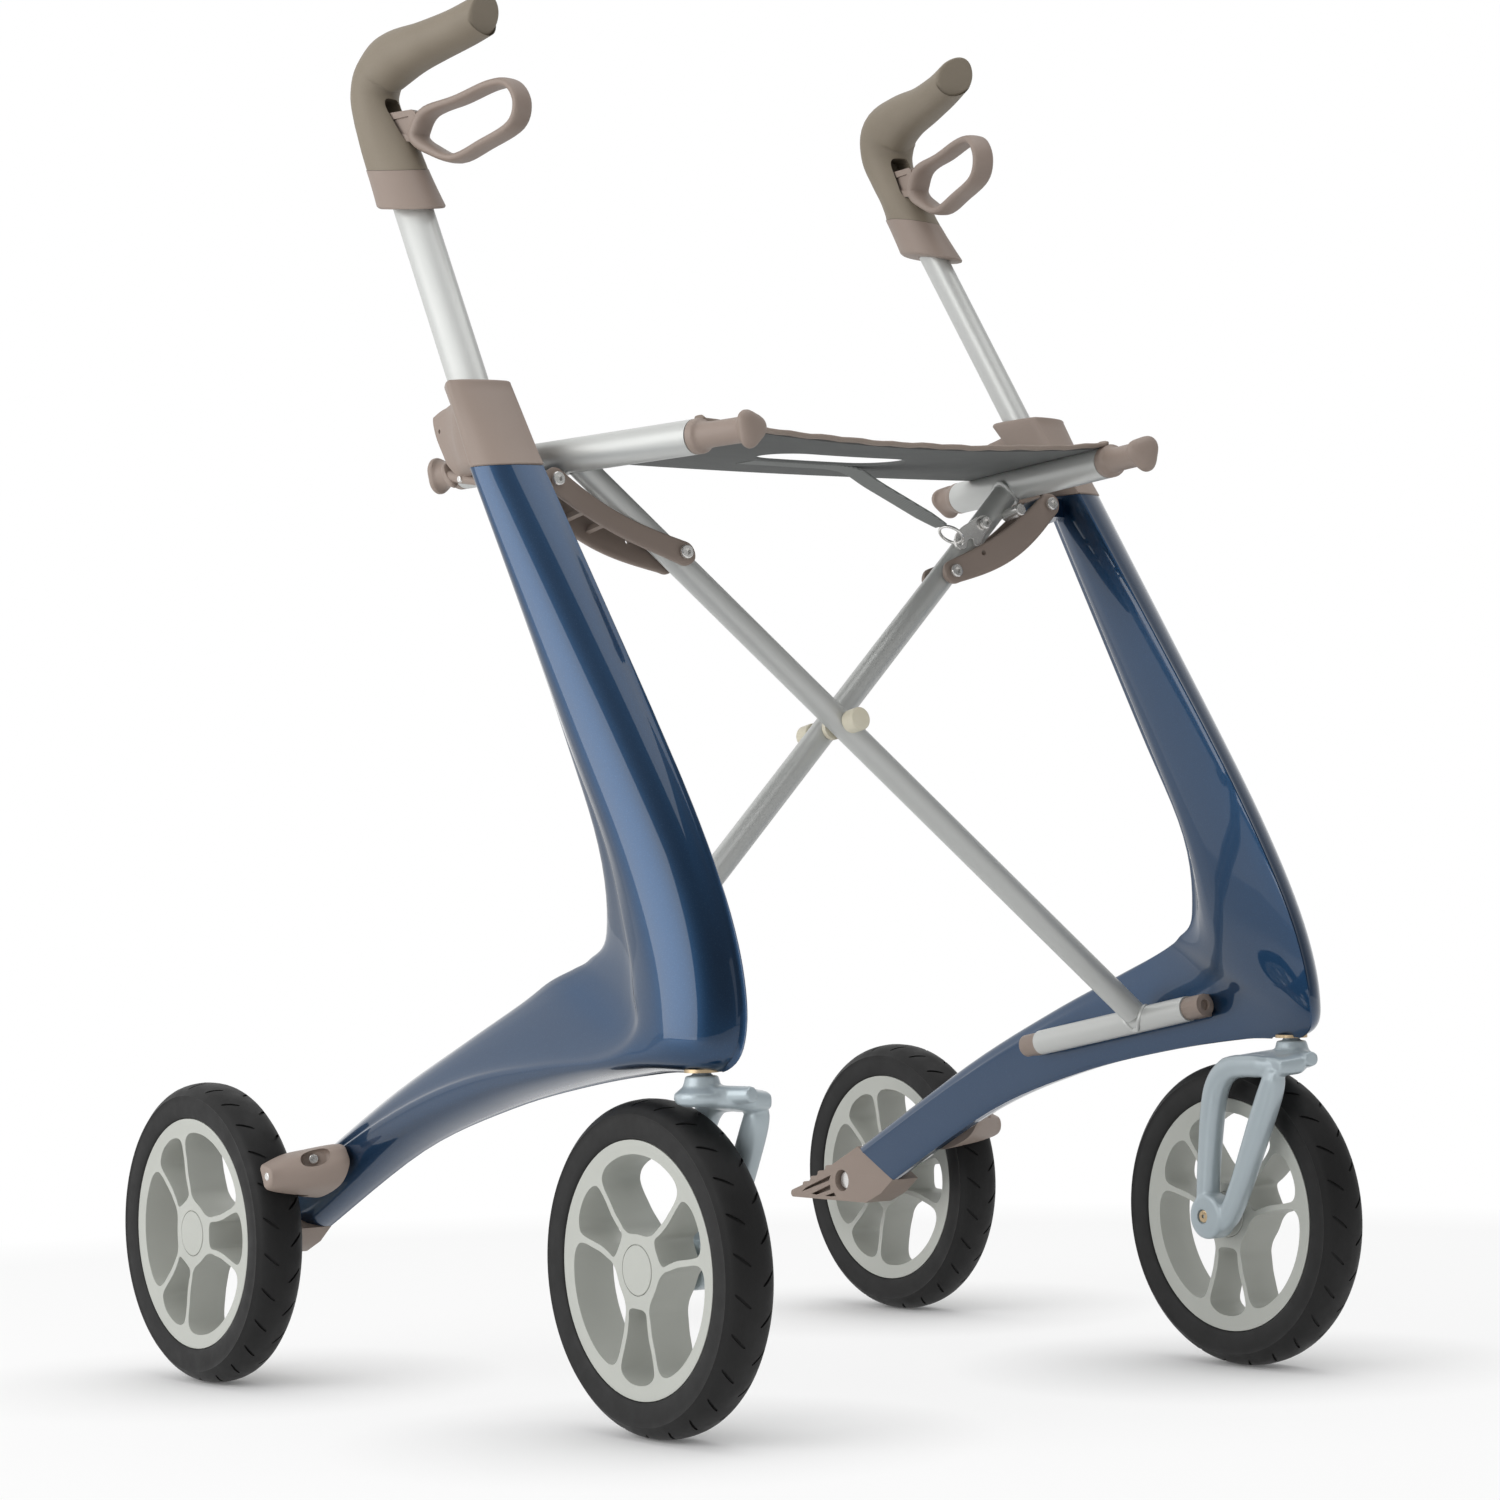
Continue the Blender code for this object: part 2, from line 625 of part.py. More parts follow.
def make_collar():
    """The head of the upright: flush with the shell, with a spigot in it and the clamp's lug behind."""
    top_front, top_rear = (-0.0540, COLLAR_TOP_Z), (0.0030, COLLAR_TOP_Z)
    stations = frame_stations()
    bottom = frame_section(stations[0])
    shoulder = COLLAR_TOP_Z - COLLAR_EDGE
    collar = loft([
        [point + Z_AXIS * RUN_GAP for point in bottom],
        frame_section((-0.0565, shoulder, 0.0010, shoulder, COLLAR_INNER_X, FRAME_OUTER_X, *FRAME_TOP_SHAPE)),
        frame_section((*top_front, *top_rear, COLLAR_INNER_X, FRAME_OUTER_X, *FRAME_TOP_SHAPE), 0.0015),
    ])
    depth = FRAME_WALL + SPIGOT_CLEARANCE
    spigot = loft([
        between_stations(stations[0], stations[1], COLLAR_SPIGOT_SHARE, depth),
        between_stations(stations[0], stations[1], -0.06, depth),
    ])
    up, long_axis, short_axis = post_axes()
    bore = loft([
        oval(POST_AT_COLLAR + up * h, long_axis, POST_LONG + RUN_GAP, short_axis, POST_SHORT + RUN_GAP, 20)
        for h in (-0.11, 0.03)
    ])
    py, pz = CLAMP_PIVOT.y, CLAMP_PIVOT.z
    lug_outline = [(py - 0.0193, pz + 0.0262), (py - 0.0433, pz - 0.0138)] + arc((py, pz), 0.0062, -110, 60, 6)
    lug = slab([lug_outline], CLAMP_LUG, side_plane(CLAMP_PIVOT.x))
    collar = cut(union(collar, spigot, lug), bore)
    pin_hole = rod(CLAMP_PIVOT - X_AXIS * 0.01, CLAMP_PIVOT + X_AXIS * 0.01, PIN_RADIUS + RUN_GAP, 12)
    collar = cut(collar, pin_hole)
    name_pair(collar, "collar", "taupe_plastic")


def make_clamp():
    py, pz = CLAMP_PIVOT.y, CLAMP_PIVOT.z
    outline = placed([
        (-0.0048, 0.0102), (0.0017, 0.0147), (0.0112, 0.0132), (0.0129, 0.0092), (0.0007, -0.0118),
        (-0.0193, -0.0283), (-0.0243, -0.0278), (-0.0333, -0.0213), (-0.0153, -0.0028)], py, pz)
    lever = slab([outline], CLAMP_WIDTH, side_plane(CLAMP_PIVOT.x))
    slot_outline = arc((py, pz), 0.0080, -100, 40, 6) \
        + placed([(0.0067, 0.0302), (-0.0533, 0.0102), (-0.0433, -0.0248)], py, pz)
    slot = slab([slot_outline], CLAMP_LUG + 2 * RUN_GAP, side_plane(CLAMP_PIVOT.x))
    hole = rod(CLAMP_PIVOT - X_AXIS * 0.02, CLAMP_PIVOT + X_AXIS * 0.02, PIN_RADIUS + RUN_GAP, 12)
    lever = cut(lever, slot, hole)
    name_pair(lever, "clamp_lever", "taupe_plastic", CLAMP_PIVOT)
    half = CLAMP_WIDTH / 2
    pin = rod(CLAMP_PIVOT - X_AXIS * half, CLAMP_PIVOT + X_AXIS * half, PIN_RADIUS, 12)
    name_pair(pin, "clamp_pin", "bright_steel", CLAMP_PIVOT)


def make_end_cap():
    """The cap on the arm's end: a plug in the shell, a pedal with teeth, pockets and the axle's hole."""
    inner, outer = END_CAP_INNER_X, END_CAP_OUTER_X
    top_start = FRAME_END_REAR
    tip_y, tip_z = REAR_AXLE_Y + 0.0602, AXLE_Z - 0.0115
    slope = math.atan2(tip_z - top_start[1], tip_y - top_start[0])
    teeth = []
    for k in range(4):
        for extra, rise in ((0.0, 0.0), (TOOTH * 0.75, TOOTH_RISE)):
            along = 0.036 + TOOTH * k + extra
            teeth.append((top_start[0] + along * math.cos(slope) - rise * math.sin(slope),
                          top_start[1] + along * math.sin(slope) + rise * math.cos(slope)))
    tip = arc((tip_y + 0.0010, tip_z - 0.0010), 0.0028, 60, -90, 4)
    below = placed([(-0.0283, -0.0153), (-0.0468, -0.0075)], REAR_AXLE_Y, AXLE_Z)
    outline = [FRAME_END_FRONT, top_start] + teeth + tip + below
    cap = slab([outline], outer - inner, side_plane((inner + outer) / 2))
    stations = frame_stations()
    depth = FRAME_WALL + SPIGOT_CLEARANCE
    plug = loft([
        between_stations(stations[-1], stations[-2], 0.12, depth),
        between_stations(stations[-1], stations[-2], -0.04, depth),
    ])
    cap = union(cut(cap, frame_end_block()), plug)
    axle = Vector((0.0, REAR_AXLE_Y, AXLE_Z))
    counterbore = rod(axle + X_AXIS * (inner - 0.01), axle + X_AXIS * (inner + COUNTERBORE_DEPTH),
                      COUNTERBORE_RADIUS, 14)
    hole = rod(axle + X_AXIS * (inner - 0.01), axle + X_AXIS * (outer + 0.01), AXLE_RADIUS + RUN_GAP, 12)
    cap = cut(cap, counterbore, hole)
    pockets = [
        [(0.0132, 0.0040), (0.0157, -0.0025), (0.0517, -0.0118), (0.0432, -0.0065)],
        [(0.0112, -0.0055), (0.0122, -0.0115), (0.0332, -0.0120), (0.0252, -0.0085)],
    ]
    for pocket in pockets:
        cap = cut(cap, slab([placed(pocket, REAR_AXLE_Y, AXLE_Z)], 0.012, side_plane(inner)))
    name_pair(cap, "end_cap", "taupe_plastic")


def make_rear_axle():
    axle = Vector((0.0, REAR_AXLE_Y, AXLE_Z))
    head = END_CAP_INNER_X + 0.004
    end = REAR_WHEEL_X + HUB_WIDTH / 2 - HUB_CAP_DEPTH - 0.004
    shoulder = REAR_WHEEL_X - HUB_WIDTH / 2 - RUN_GAP
    flange = END_CAP_OUTER_X + RUN_GAP
    bolt = turned([(0.0, head), (0.0062, head), (0.0070, head + 0.001), (0.0070, head + 0.0057),
                   (AXLE_RADIUS, head + 0.0057), (AXLE_RADIUS, flange), (0.0080, flange),
                   (0.0080, shoulder), (AXLE_RADIUS, shoulder), (AXLE_RADIUS, end), (0.0, end)],
                  axle, X_AXIS, 12)
    name_pair(bolt, "rear_axle", "bright_steel")


def make_brake_arm():
    """The block on the arm's outer side that reaches out in front of the tread and is pressed against
    it. The stud behind its screw pocket turns in the frame's outer wall."""
    inner, outer = BRAKE_ARM_INNER_X, BRAKE_ARM_OUTER_X
    sections = [
        (inner, [(0.0220, 0.0057), (-0.0165, 0.0113), (-0.0295, 0.0023), (-0.0290, -0.0068),
                 (-0.0097, -0.0171), (0.0120, -0.0241), (0.0240, -0.0213), (0.0270, -0.0023)]),
        (inner + 0.0095, [(0.0215, 0.0057), (-0.0150, 0.0109), (-0.0270, 0.0027), (-0.0265, -0.0068),
                          (-0.0100, -0.0168), (0.0120, -0.0237), (0.0235, -0.0203), (0.0265, -0.0023)]),
        (inner + 0.0255, [(0.0150, 0.0057), (-0.0060, 0.0057), (-0.0160, -0.0003), (-0.0150, -0.0093),
                          (-0.0060, -0.0183), (0.0050, -0.0218), (0.0150, -0.0203), (0.0160, -0.0053)]),
        (outer - 0.0045, [(0.0120, -0.0003), (0.0000, -0.0003), (-0.0065, -0.0033), (-0.0075, -0.0088),
                          (-0.0050, -0.0143), (0.0010, -0.0168), (0.0120, -0.0168), (0.0140, -0.0083)]),
        (outer, [(0.0090, -0.0028), (0.0010, -0.0028), (-0.0035, -0.0048), (-0.0040, -0.0088),
                 (-0.0025, -0.0123), (0.0020, -0.0143), (0.0090, -0.0143), (0.0100, -0.0083)]),
    ]
    py, pz = BRAKE_ARM_PIVOT.y, BRAKE_ARM_PIVOT.z
    arm = loft([[Vector((x, y, z)) for y, z in placed(outline, py, pz)] for x, outline in sections], split=True)
    hub = Vector((0.0, REAR_AXLE_Y, AXLE_Z))
    inside_tyre = REAR_WHEEL_X - TYRE_WIDTH / 2 - 0.0020
    tread = rod(hub + X_AXIS * inside_tyre, hub + X_AXIS * (outer + 0.01), WHEEL_RADIUS + SHOE_GAP, 64)
    pocket_y, pocket_z = BRAKE_ARM_PIVOT.y - 0.0120, BRAKE_ARM_PIVOT.z + 0.0008
    pocket = arc((pocket_y + 0.0085, pocket_z), 0.0058, -90, 90, 5) \
        + arc((pocket_y - 0.0085, pocket_z), 0.0058, 90, 270, 5)
    floor = inner + 0.0090
    pocket_cut = slab([pocket], 0.05, side_plane(floor + 0.025))
    stud = rod(BRAKE_ARM_PIVOT - X_AXIS * (BRAKE_ARM_PIVOT.x - inner + STUD_DEPTH), BRAKE_ARM_PIVOT,
               STUD_RADIUS, 12)
    name_pair(union(cut(arm, tread, pocket_cut), stud), "brake_arm", "taupe_plastic", BRAKE_ARM_PIVOT)


# Wheels
def make_wheel(name, centre_x, axle_y, first_pair):
    """Rim with three pairs of spokes and its hub cap, and tyre, on an axle along X. The tread stands
    on the middle of a facet."""
    hub = Vector((centre_x, axle_y, WHEEL_RADIUS))
    half = RIM_WIDTH / 2
    inside = RIM_RADIUS - RIM_DEPTH
    ring = turned([(inside, 0.0), (inside + 0.0035, half), (RIM_RADIUS, half),
                   (RIM_RADIUS, -half), (inside + 0.0035, -half)],
                  hub, X_AXIS, WHEEL_STEPS, closed=True, phase=math.pi / WHEEL_STEPS)
    end = HUB_WIDTH / 2
    boss = turned([(0.0, end), (HUB_RADIUS - 0.001, end), (HUB_RADIUS, end - 0.001),
                   (HUB_RADIUS, -end), (0.0, -end)], hub, X_AXIS, 16)
    rim = union(ring, boss)
    for pair in range(3):
        for side in (-1, 1):
            rings = []
            for radius, spread, width in ((0.012, 0.30, 1.0), (0.030, 0.50, 1.0),
                                          (inside + 0.0015, 1.0, 0.90)):
                angle = math.radians(first_pair + 120 * pair) + side * spread * SPOKE_SPREAD / 2
                outward = Vector((0.0, math.cos(angle), math.sin(angle)))
                across = Vector((0.0, -math.sin(angle), math.cos(angle)))
                point = hub + outward * radius
                thick = SPOKE_THICKNESS / 2
                wide = SPOKE_WIDTH / 2 * width
                rings.append([point + across * thick + X_AXIS * wide, point - across * thick + X_AXIS * wide,
                              point - across * thick - X_AXIS * wide, point + across * thick - X_AXIS * wide])
            rim = union(rim, loft(rings))
    bore = rod(hub - X_AXIS * 0.03, hub + X_AXIS * 0.03, AXLE_RADIUS + RUN_GAP, 12)
    cap = rod(hub + X_AXIS * (end - HUB_CAP_DEPTH), hub + X_AXIS * (end + 0.0010), HUB_CAP_RADIUS, 16,
              HUB_CAP_RADIUS - 0.0010)
    rim = union(cut(rim, bore), cap)
    name_pair(rim, name + "_rim", "grey_plastic", hub, 30)
    wide = TYRE_WIDTH / 2
    seat = RIM_RADIUS + RUN_GAP
    tread = WHEEL_RADIUS / math.cos(math.pi / WHEEL_STEPS)
    section = [(seat, 0.86 * wide), (0.0890, wide), (tread, 0.45 * wide)]
    profile = section + [(r, -x) for r, x in reversed(section)]
    tyre = turned(profile, hub, X_AXIS, WHEEL_STEPS, closed=True, phase=math.pi / WHEEL_STEPS)
    name_pair(tyre, name + "_tyre", "tyre_rubber", hub)


# Caster
def make_caster():
    stem = Vector((STEM_X, STEM_Y, 0.0))
    bush_bottom = BOSS_BOTTOM_Z - RUN_GAP - BUSH_FLANGE
    bush = turned([(STEM_RADIUS + RUN_GAP, STEM_TOP_Z - 0.004), (BUSH_RADIUS, STEM_TOP_Z - 0.004),
                   (BUSH_RADIUS, bush_bottom + BUSH_FLANGE), (BUSH_FLANGE_RADIUS, bush_bottom + BUSH_FLANGE),
                   (BUSH_FLANGE_RADIUS, bush_bottom), (STEM_RADIUS + RUN_GAP, bush_bottom)],
                  stem, Z_AXIS, 16, closed=True)
    name_pair(bush, "stem_bearing", "brass_finish")
    boss_top = bush_bottom - RUN_GAP
    fork = turned([(0.0, STEM_TOP_Z), (STEM_RADIUS, STEM_TOP_Z), (STEM_RADIUS, boss_top), (0.0098, boss_top),
                   (0.0112, boss_top - 0.002), (0.0112, 0.2080), (0.0160, 0.2062), (0.0165, 0.2030),
                   (0.0130, 0.1968), (0.0, 0.1968)], stem, Z_AXIS, 16)
    hub = Vector((FORK_X, FRONT_AXLE_Y, AXLE_Z))
    front_leg = smooth_through([
        (STEM_X - 0.008, STEM_Y, 0.2035), (FORK_X + 0.0100, -0.2770, 0.2030),
        (FORK_X + 0.0005, -0.2850, 0.1940), (FORK_X, -0.2760, 0.1770), (FORK_X, -0.2450, 0.1350),
        (FORK_X, -0.2240, 0.1060)], [1, 2, 2, 1, 1])
    rear_leg = smooth_through([
        (STEM_X - 0.008, STEM_Y, 0.2035), (FORK_X + 0.0100, -0.2560, 0.2030),
        (FORK_X + 0.0010, -0.2400, 0.1960), (FORK_X, -0.2290, 0.1790), (FORK_X, -0.2150, 0.1350),
        (FORK_X, -0.2150, 0.1060)], [1, 2, 2, 1, 1])
    neck = [(STEM_X - 0.004, STEM_Y, 0.2035), (FORK_X + 0.0130, -0.2660, 0.2035),
            (FORK_X + 0.0020, -0.2620, 0.1980)]
    hub_boss = rod(hub - X_AXIS * 0.0085, hub + X_AXIS * 0.0068, FORK_HUB_RADIUS, 16)
    fork = union(fork, tube_path(front_leg, FORK_BAR_RADIUS), tube_path(rear_leg, FORK_BAR_RADIUS),
                 tube_path(neck, FORK_NECK_RADIUS), hub_boss)
    axle_hole = rod(hub - X_AXIS * 0.02, hub + X_AXIS * 0.02, AXLE_RADIUS + RUN_GAP, 12)
    fork = cut(fork, axle_hole)
    name_pair(fork, "fork", "fork_paint", Vector((STEM_X, STEM_Y, BOSS_BOTTOM_Z)))
    head = hub.x - 0.0085 - RUN_GAP
    end = FRONT_WHEEL_X + HUB_WIDTH / 2 - HUB_CAP_DEPTH - 0.004
    shoulder = FRONT_WHEEL_X - HUB_WIDTH / 2 - RUN_GAP
    spacer = hub.x + 0.0068 + RUN_GAP
    axle = turned([(0.0, head - 0.0040), (0.0060, head - 0.0040), (0.0075, head - 0.0025), (0.0075, head),
                   (AXLE_RADIUS, head), (AXLE_RADIUS, spacer), (0.0075, spacer), (0.0075, shoulder),
                   (AXLE_RADIUS, shoulder), (AXLE_RADIUS, end), (0.0, end)],
                  Vector((0.0, FRONT_AXLE_Y, AXLE_Z)), X_AXIS, 12)
    name_pair(axle, "front_axle", "brass_finish")


# Handle
def make_handle_post():
    """The oval tube that slides in the collar and carries the handle."""
    up, long_axis, short_axis = post_axes()
    bottom, top = -POST_BELOW_COLLAR, (POST_AT_BASE - POST_AT_COLLAR).length + POST_IN_BASE
    walls = [
        [oval(POST_AT_COLLAR + up * h, long_axis, POST_LONG - wall, short_axis, POST_SHORT - wall, 20)
         for h in (bottom, top)]
        for wall in (0.0, POST_WALL)
    ]
    name_pair(pipe(*walls), "handle_post", "silver_aluminium", POST_AT_COLLAR)


def make_handle_base():
    """The taupe socket that the post ends in, with the spigot that carries the grip."""
    up, long_axis, short_axis = post_axes()
    base = POST_AT_BASE
    rise = GRIP_PATH[0][0]
    socket = loft([
        oval(base + rise * share, long_axis, a, short_axis, b, 16)
        for share, a, b in ((0.0, 0.0190, 0.0150), (0.06, 0.0200, 0.0165), (1.0, 0.0190, 0.0152))
    ])
    spigot = loft([oval(base + rise * share, long_axis, SPIGOT_LONG, short_axis, SPIGOT_SHORT, 16)
                   for share in (0.9, 1.35)])
    hole = loft([
        oval(base + up * h, long_axis, POST_LONG + RUN_GAP, short_axis, POST_SHORT + RUN_GAP, 20)
        for h in (-0.02, POST_IN_BASE + RUN_GAP)
    ])
    name_pair(cut(union(socket, spigot), hole), "handle_base", "taupe_plastic")


def make_grip():
    """The soft grip: up the column, round the bend with its palm rest, and forward to the tip."""
    controls = [(*(POST_AT_BASE + offset), wide, thick) for offset, wide, thick in GRIP_PATH]
    stations = smooth_through(controls, [1, 1, 1, 2, 2, 1, 1, 1])
    centres = [Vector(station[:3]) for station in stations]
    rise = GRIP_PATH[0][0]
    lift = rise.normalized() * RUN_GAP
    outer_rear = Vector((1.0, 1.0, 0.0))
    rings = []
    for i, station in enumerate(stations):
        before, after = centres[max(i - 1, 0)], centres[min(i + 1, len(centres) - 1)]
        along = (after - before).normalized()
        if i == 0:
            along = post_axes()[0]
        wide = (outer_rear - outer_rear.dot(along) * along).normalized()
        rings.append(oval(centres[i] + (lift if i == 0 else Vector()), wide, station[3],
                          along.cross(wide), station[4], 16))
    along = (centres[-1] - centres[-2]).normalized()
    wide = (outer_rear - outer_rear.dot(along) * along).normalized()
    rings.append(oval(centres[-1] + along * GRIP_TIP_LENGTH, wide, GRIP_TIP[0], along.cross(wide),
                      GRIP_TIP[1], 16))
    grip = loft(rings)
    up, long_axis, short_axis = post_axes()
    socket = loft([
        oval(POST_AT_BASE + rise * share, long_axis, SPIGOT_LONG + RUN_GAP, short_axis,
             SPIGOT_SHORT + RUN_GAP, 16) for share in (0.8, 1.36)
    ])
    pocket_low = (BRAKE_PIVOT.x - 0.0095, BRAKE_PIVOT.y - 0.040, BRAKE_PIVOT.z - 0.0125)
    pocket_high = (BRAKE_PIVOT.x + 0.0085, BRAKE_PIVOT.y + 0.0075, BRAKE_PIVOT.z + 0.0150)
    pocket = box(pocket_low, pocket_high)
    pin_hole = rod(BRAKE_PIVOT - X_AXIS * 0.03, BRAKE_PIVOT + X_AXIS * 0.0135, PIN_RADIUS + RUN_GAP, 12)
    grip = cut(grip, socket, pocket, pin_hole)
    name_pair(grip, "grip", "olive_rubber", smooth_angle=40)


def make_brake_lever():
    """The loop that the fingers pull, with the stub that pivots in the grip's pocket."""
    py, pz = BRAKE_PIVOT.y, BRAKE_PIVOT.z
    outline = smooth_loop(placed([
        (-0.0360, -0.0005), (-0.0800, 0.0080), (-0.1228, 0.0143), (-0.1400, 0.0065), (-0.1437, -0.0095),
        (-0.1280, -0.0275), (-0.1000, -0.0360), (-0.0797, -0.0383), (-0.0570, -0.0325), (-0.0400, -0.0185)],
        py, pz), 2)
    toe = Matrix.Translation(BRAKE_PIVOT) @ Matrix.Rotation(-BRAKE_TOE, 4, "Z")
    plane = toe @ Matrix.Translation(-BRAKE_PIVOT) @ side_plane(BRAKE_PIVOT.x)
    loop = slab([outline, inset(outline, BRAKE_LOOP_THICKNESS)], BRAKE_LOOP_WIDTH, plane)
    stub_outline = arc((py, pz), 0.0062, -60, 90, 5) \
        + placed([(-0.0400, 0.0025), (-0.0410, -0.0155), (-0.0240, -0.0105)], py, pz)
    stub = slab([stub_outline], BRAKE_STUB_WIDTH, side_plane(BRAKE_PIVOT.x - 0.0005))
    lever = union(loop, stub)
    hole = rod(BRAKE_PIVOT - X_AXIS * 0.02, BRAKE_PIVOT + X_AXIS * 0.02, PIN_RADIUS + RUN_GAP, 12)
    lever = cut(lever, hole)
    name_pair(lever, "brake_lever", "taupe_plastic", BRAKE_PIVOT)
    pin = rod(BRAKE_PIVOT - X_AXIS * 0.0125, BRAKE_PIVOT + X_AXIS * 0.0130, PIN_RADIUS, 12)
    name_pair(pin, "lever_pin", "bright_steel")


# Scissor
def seat_direction():
    return (SEAT_TUBE_FRONT - SEAT_TUBE_REAR).normalized()


def cross_weldment(side):
    """A cross tube with its seat tube and lower pivot tube. side is the sign of x at its seat tube."""
    s = -CROSS_SPACING / 2 if side > 0 else CROSS_SPACING / 2
    across, up = math.cos(CROSS_ANGLE), math.sin(CROSS_ANGLE)
    lower = fold_point(-side * CROSS_LOWER * across, -CROSS_LOWER * up, s)
    upper = fold_point(side * CROSS_UPPER * across, CROSS_UPPER * up, s)
    tube = rod(lower, upper, CROSS_RADIUS, 16)
    flip = Matrix.Diagonal((side, 1.0, 1.0, 1.0))
    front, rear = flip @ SEAT_TUBE_FRONT, flip @ SEAT_TUBE_REAR
    direction = (front - rear).normalized()
    seat_tube = rod(rear, front, SEAT_TUBE_RADIUS, 16)
    seat_bore = rod(rear - direction * 0.01, front + direction * 0.01, SEAT_TUBE_RADIUS - SEAT_TUBE_WALL, 16)
    low_x = -side * CROSS_LOWER * across
    low_w = -CROSS_LOWER * up
    pivot_tube = rod(fold_point(low_x, low_w, LOWER_TUBE_REAR), fold_point(low_x, low_w, LOWER_TUBE_FRONT),
                     LOWER_TUBE_RADIUS, 16)
    pivot_bore = rod(fold_point(low_x, low_w, LOWER_TUBE_REAR - 0.01),
                     fold_point(low_x, low_w, LOWER_TUBE_FRONT + 0.01), LOWER_TUBE_RADIUS - LOWER_TUBE_WALL, 16)
    centre_hole = rod(fold_point(0.0, 0.0, -0.03), fold_point(0.0, 0.0, 0.03), PIVOT_PIN_RADIUS + RUN_GAP, 12)
    weldment = union(tube, seat_tube, pivot_tube)
    return cut(weldment, seat_bore, pivot_bore, centre_hole)


def make_cross_tubes():
    rear = cross_weldment(1)
    bolt_hole = rod(fold_point(*LATCH_PIVOT, -0.030), fold_point(*LATCH_PIVOT, 0.010),
                    LATCH_BOLT_RADIUS + RUN_GAP, 12)
    rear = cut(rear, bolt_hole)
    across, up = math.cos(CROSS_ANGLE), math.sin(CROSS_ANGLE)
    low_right = fold_point(-CROSS_LOWER * across, -CROSS_LOWER * up, 0.0)
    name_piece(rear, "cross_tube_rear", "silver_aluminium", low_right)
    name_piece(cross_weldment(-1), "cross_tube_front", "silver_aluminium", FOLD_CENTRE)
    reach = CROSS_SPACING / 2 + CROSS_RADIUS + RUN_GAP
    spacer = CROSS_SPACING / 2 - CROSS_RADIUS - RUN_GAP
    top = reach + PIVOT_CAP
    half = [(0.0, top), (PIVOT_CAP_RADIUS - 0.001, top), (PIVOT_CAP_RADIUS, top - 0.001),
            (PIVOT_CAP_RADIUS, reach), (PIVOT_PIN_RADIUS, reach), (PIVOT_PIN_RADIUS, spacer),
            (PIVOT_CAP_RADIUS, spacer)]
    profile = half + [(radius, -height) for radius, height in reversed(half)]
    name_piece(turned(profile, FOLD_CENTRE, FOLD_AXIS, 12), "centre_pivot", "cream_plastic")


def make_pivot_blocks():
    """The ears at both ends of the lower pivot tube, each with a plug in the tube and a foot on the
    frame."""
    across, up = math.cos(CROSS_ANGLE), math.sin(CROSS_ANGLE)
    x, w = CROSS_LOWER * across, -CROSS_LOWER * up
    for name, end, sign, reach in (("front", LOWER_TUBE_FRONT, 1, EAR_REACH_FRONT),
                                   ("rear", LOWER_TUBE_REAR, -1, EAR_REACH_REAR)):
        face = end + sign * RUN_GAP
        plug_radius = LOWER_TUBE_RADIUS - LOWER_TUBE_WALL - RUN_GAP
        ear = turned([(0.0, EAR_LENGTH), (0.0045, EAR_LENGTH - 0.0008), (EAR_RADIUS, EAR_LENGTH - 0.006),
                      (EAR_RADIUS, 0.0), (plug_radius, 0.0),
                      (plug_radius, -EAR_PLUG), (0.0, -EAR_PLUG)],
                     fold_point(x, w, face), FOLD_AXIS * sign, 16)
        foot_low, foot_high = sorted((face, face + sign * (EAR_LENGTH - 0.003)))
        foot = slab([[(x, w - 0.0075), (reach, w - 0.0075), (reach, w + 0.0075), (x, w + 0.0075)]],
                    foot_high - foot_low, fold_plane((foot_low + foot_high) / 2))
        name_pair(union(ear, foot), "pivot_block_" + name, "taupe_plastic")


def make_seat_plugs():
    direction = seat_direction()
    for name, base, way, length in (("front", SEAT_TUBE_FRONT, direction, FRONT_PLUG_LENGTH),
                                    ("rear", SEAT_TUBE_REAR, -direction, REAR_PLUG_LENGTH)):
        bore = SEAT_TUBE_RADIUS - SEAT_TUBE_WALL - RUN_GAP
        start = RUN_GAP
        neck_end = length - 0.022
        plug = turned([
            (0.0, length), (0.0085, length - 0.0020), (PLUG_KNOB_RADIUS, length - 0.0150),
            (PLUG_NECK_RADIUS, neck_end), (PLUG_NECK_RADIUS, start + 0.0045), (SEAT_TUBE_RADIUS, start + 0.002),
            (SEAT_TUBE_RADIUS, start),
            (bore, start), (bore, -0.018), (0.0, -0.018)], base, way, 14)
        name_pair(plug, "seat_plug_" + name, "taupe_plastic")


# Links
def link_point(along, across, s):
    """A point of the right-hand link, from its frame pivot towards its tube pivot. The plates step
    sideways from the frame's middle plane to the cross tube's plane between the two pivots."""
    start, end = link_ends()
    way = (end - start).normalized()
    down = Vector((way.y, -way.x))
    blend = min(max((along - LINK_EYE_RADIUS - 0.001) / LINK_STEP, 0.0), 1.0)
    place = start + way * along + down * across
    return fold_point(place.x, place.y, s + LINK_JOG * blend)


def link_ends():
    """The right-hand link's pivots in the scissor's plane: on the frame and on the cross tube."""
    along, up = math.cos(CROSS_ANGLE), math.sin(CROSS_ANGLE)
    start = Vector((-LINK_FRAME_X, LINK_FRAME_W))
    return start, Vector((-LINK_TUBE_FROM_CENTRE * along, LINK_TUBE_FROM_CENTRE * up))


def link_length():
    start, end = link_ends()
    return (end - start).length


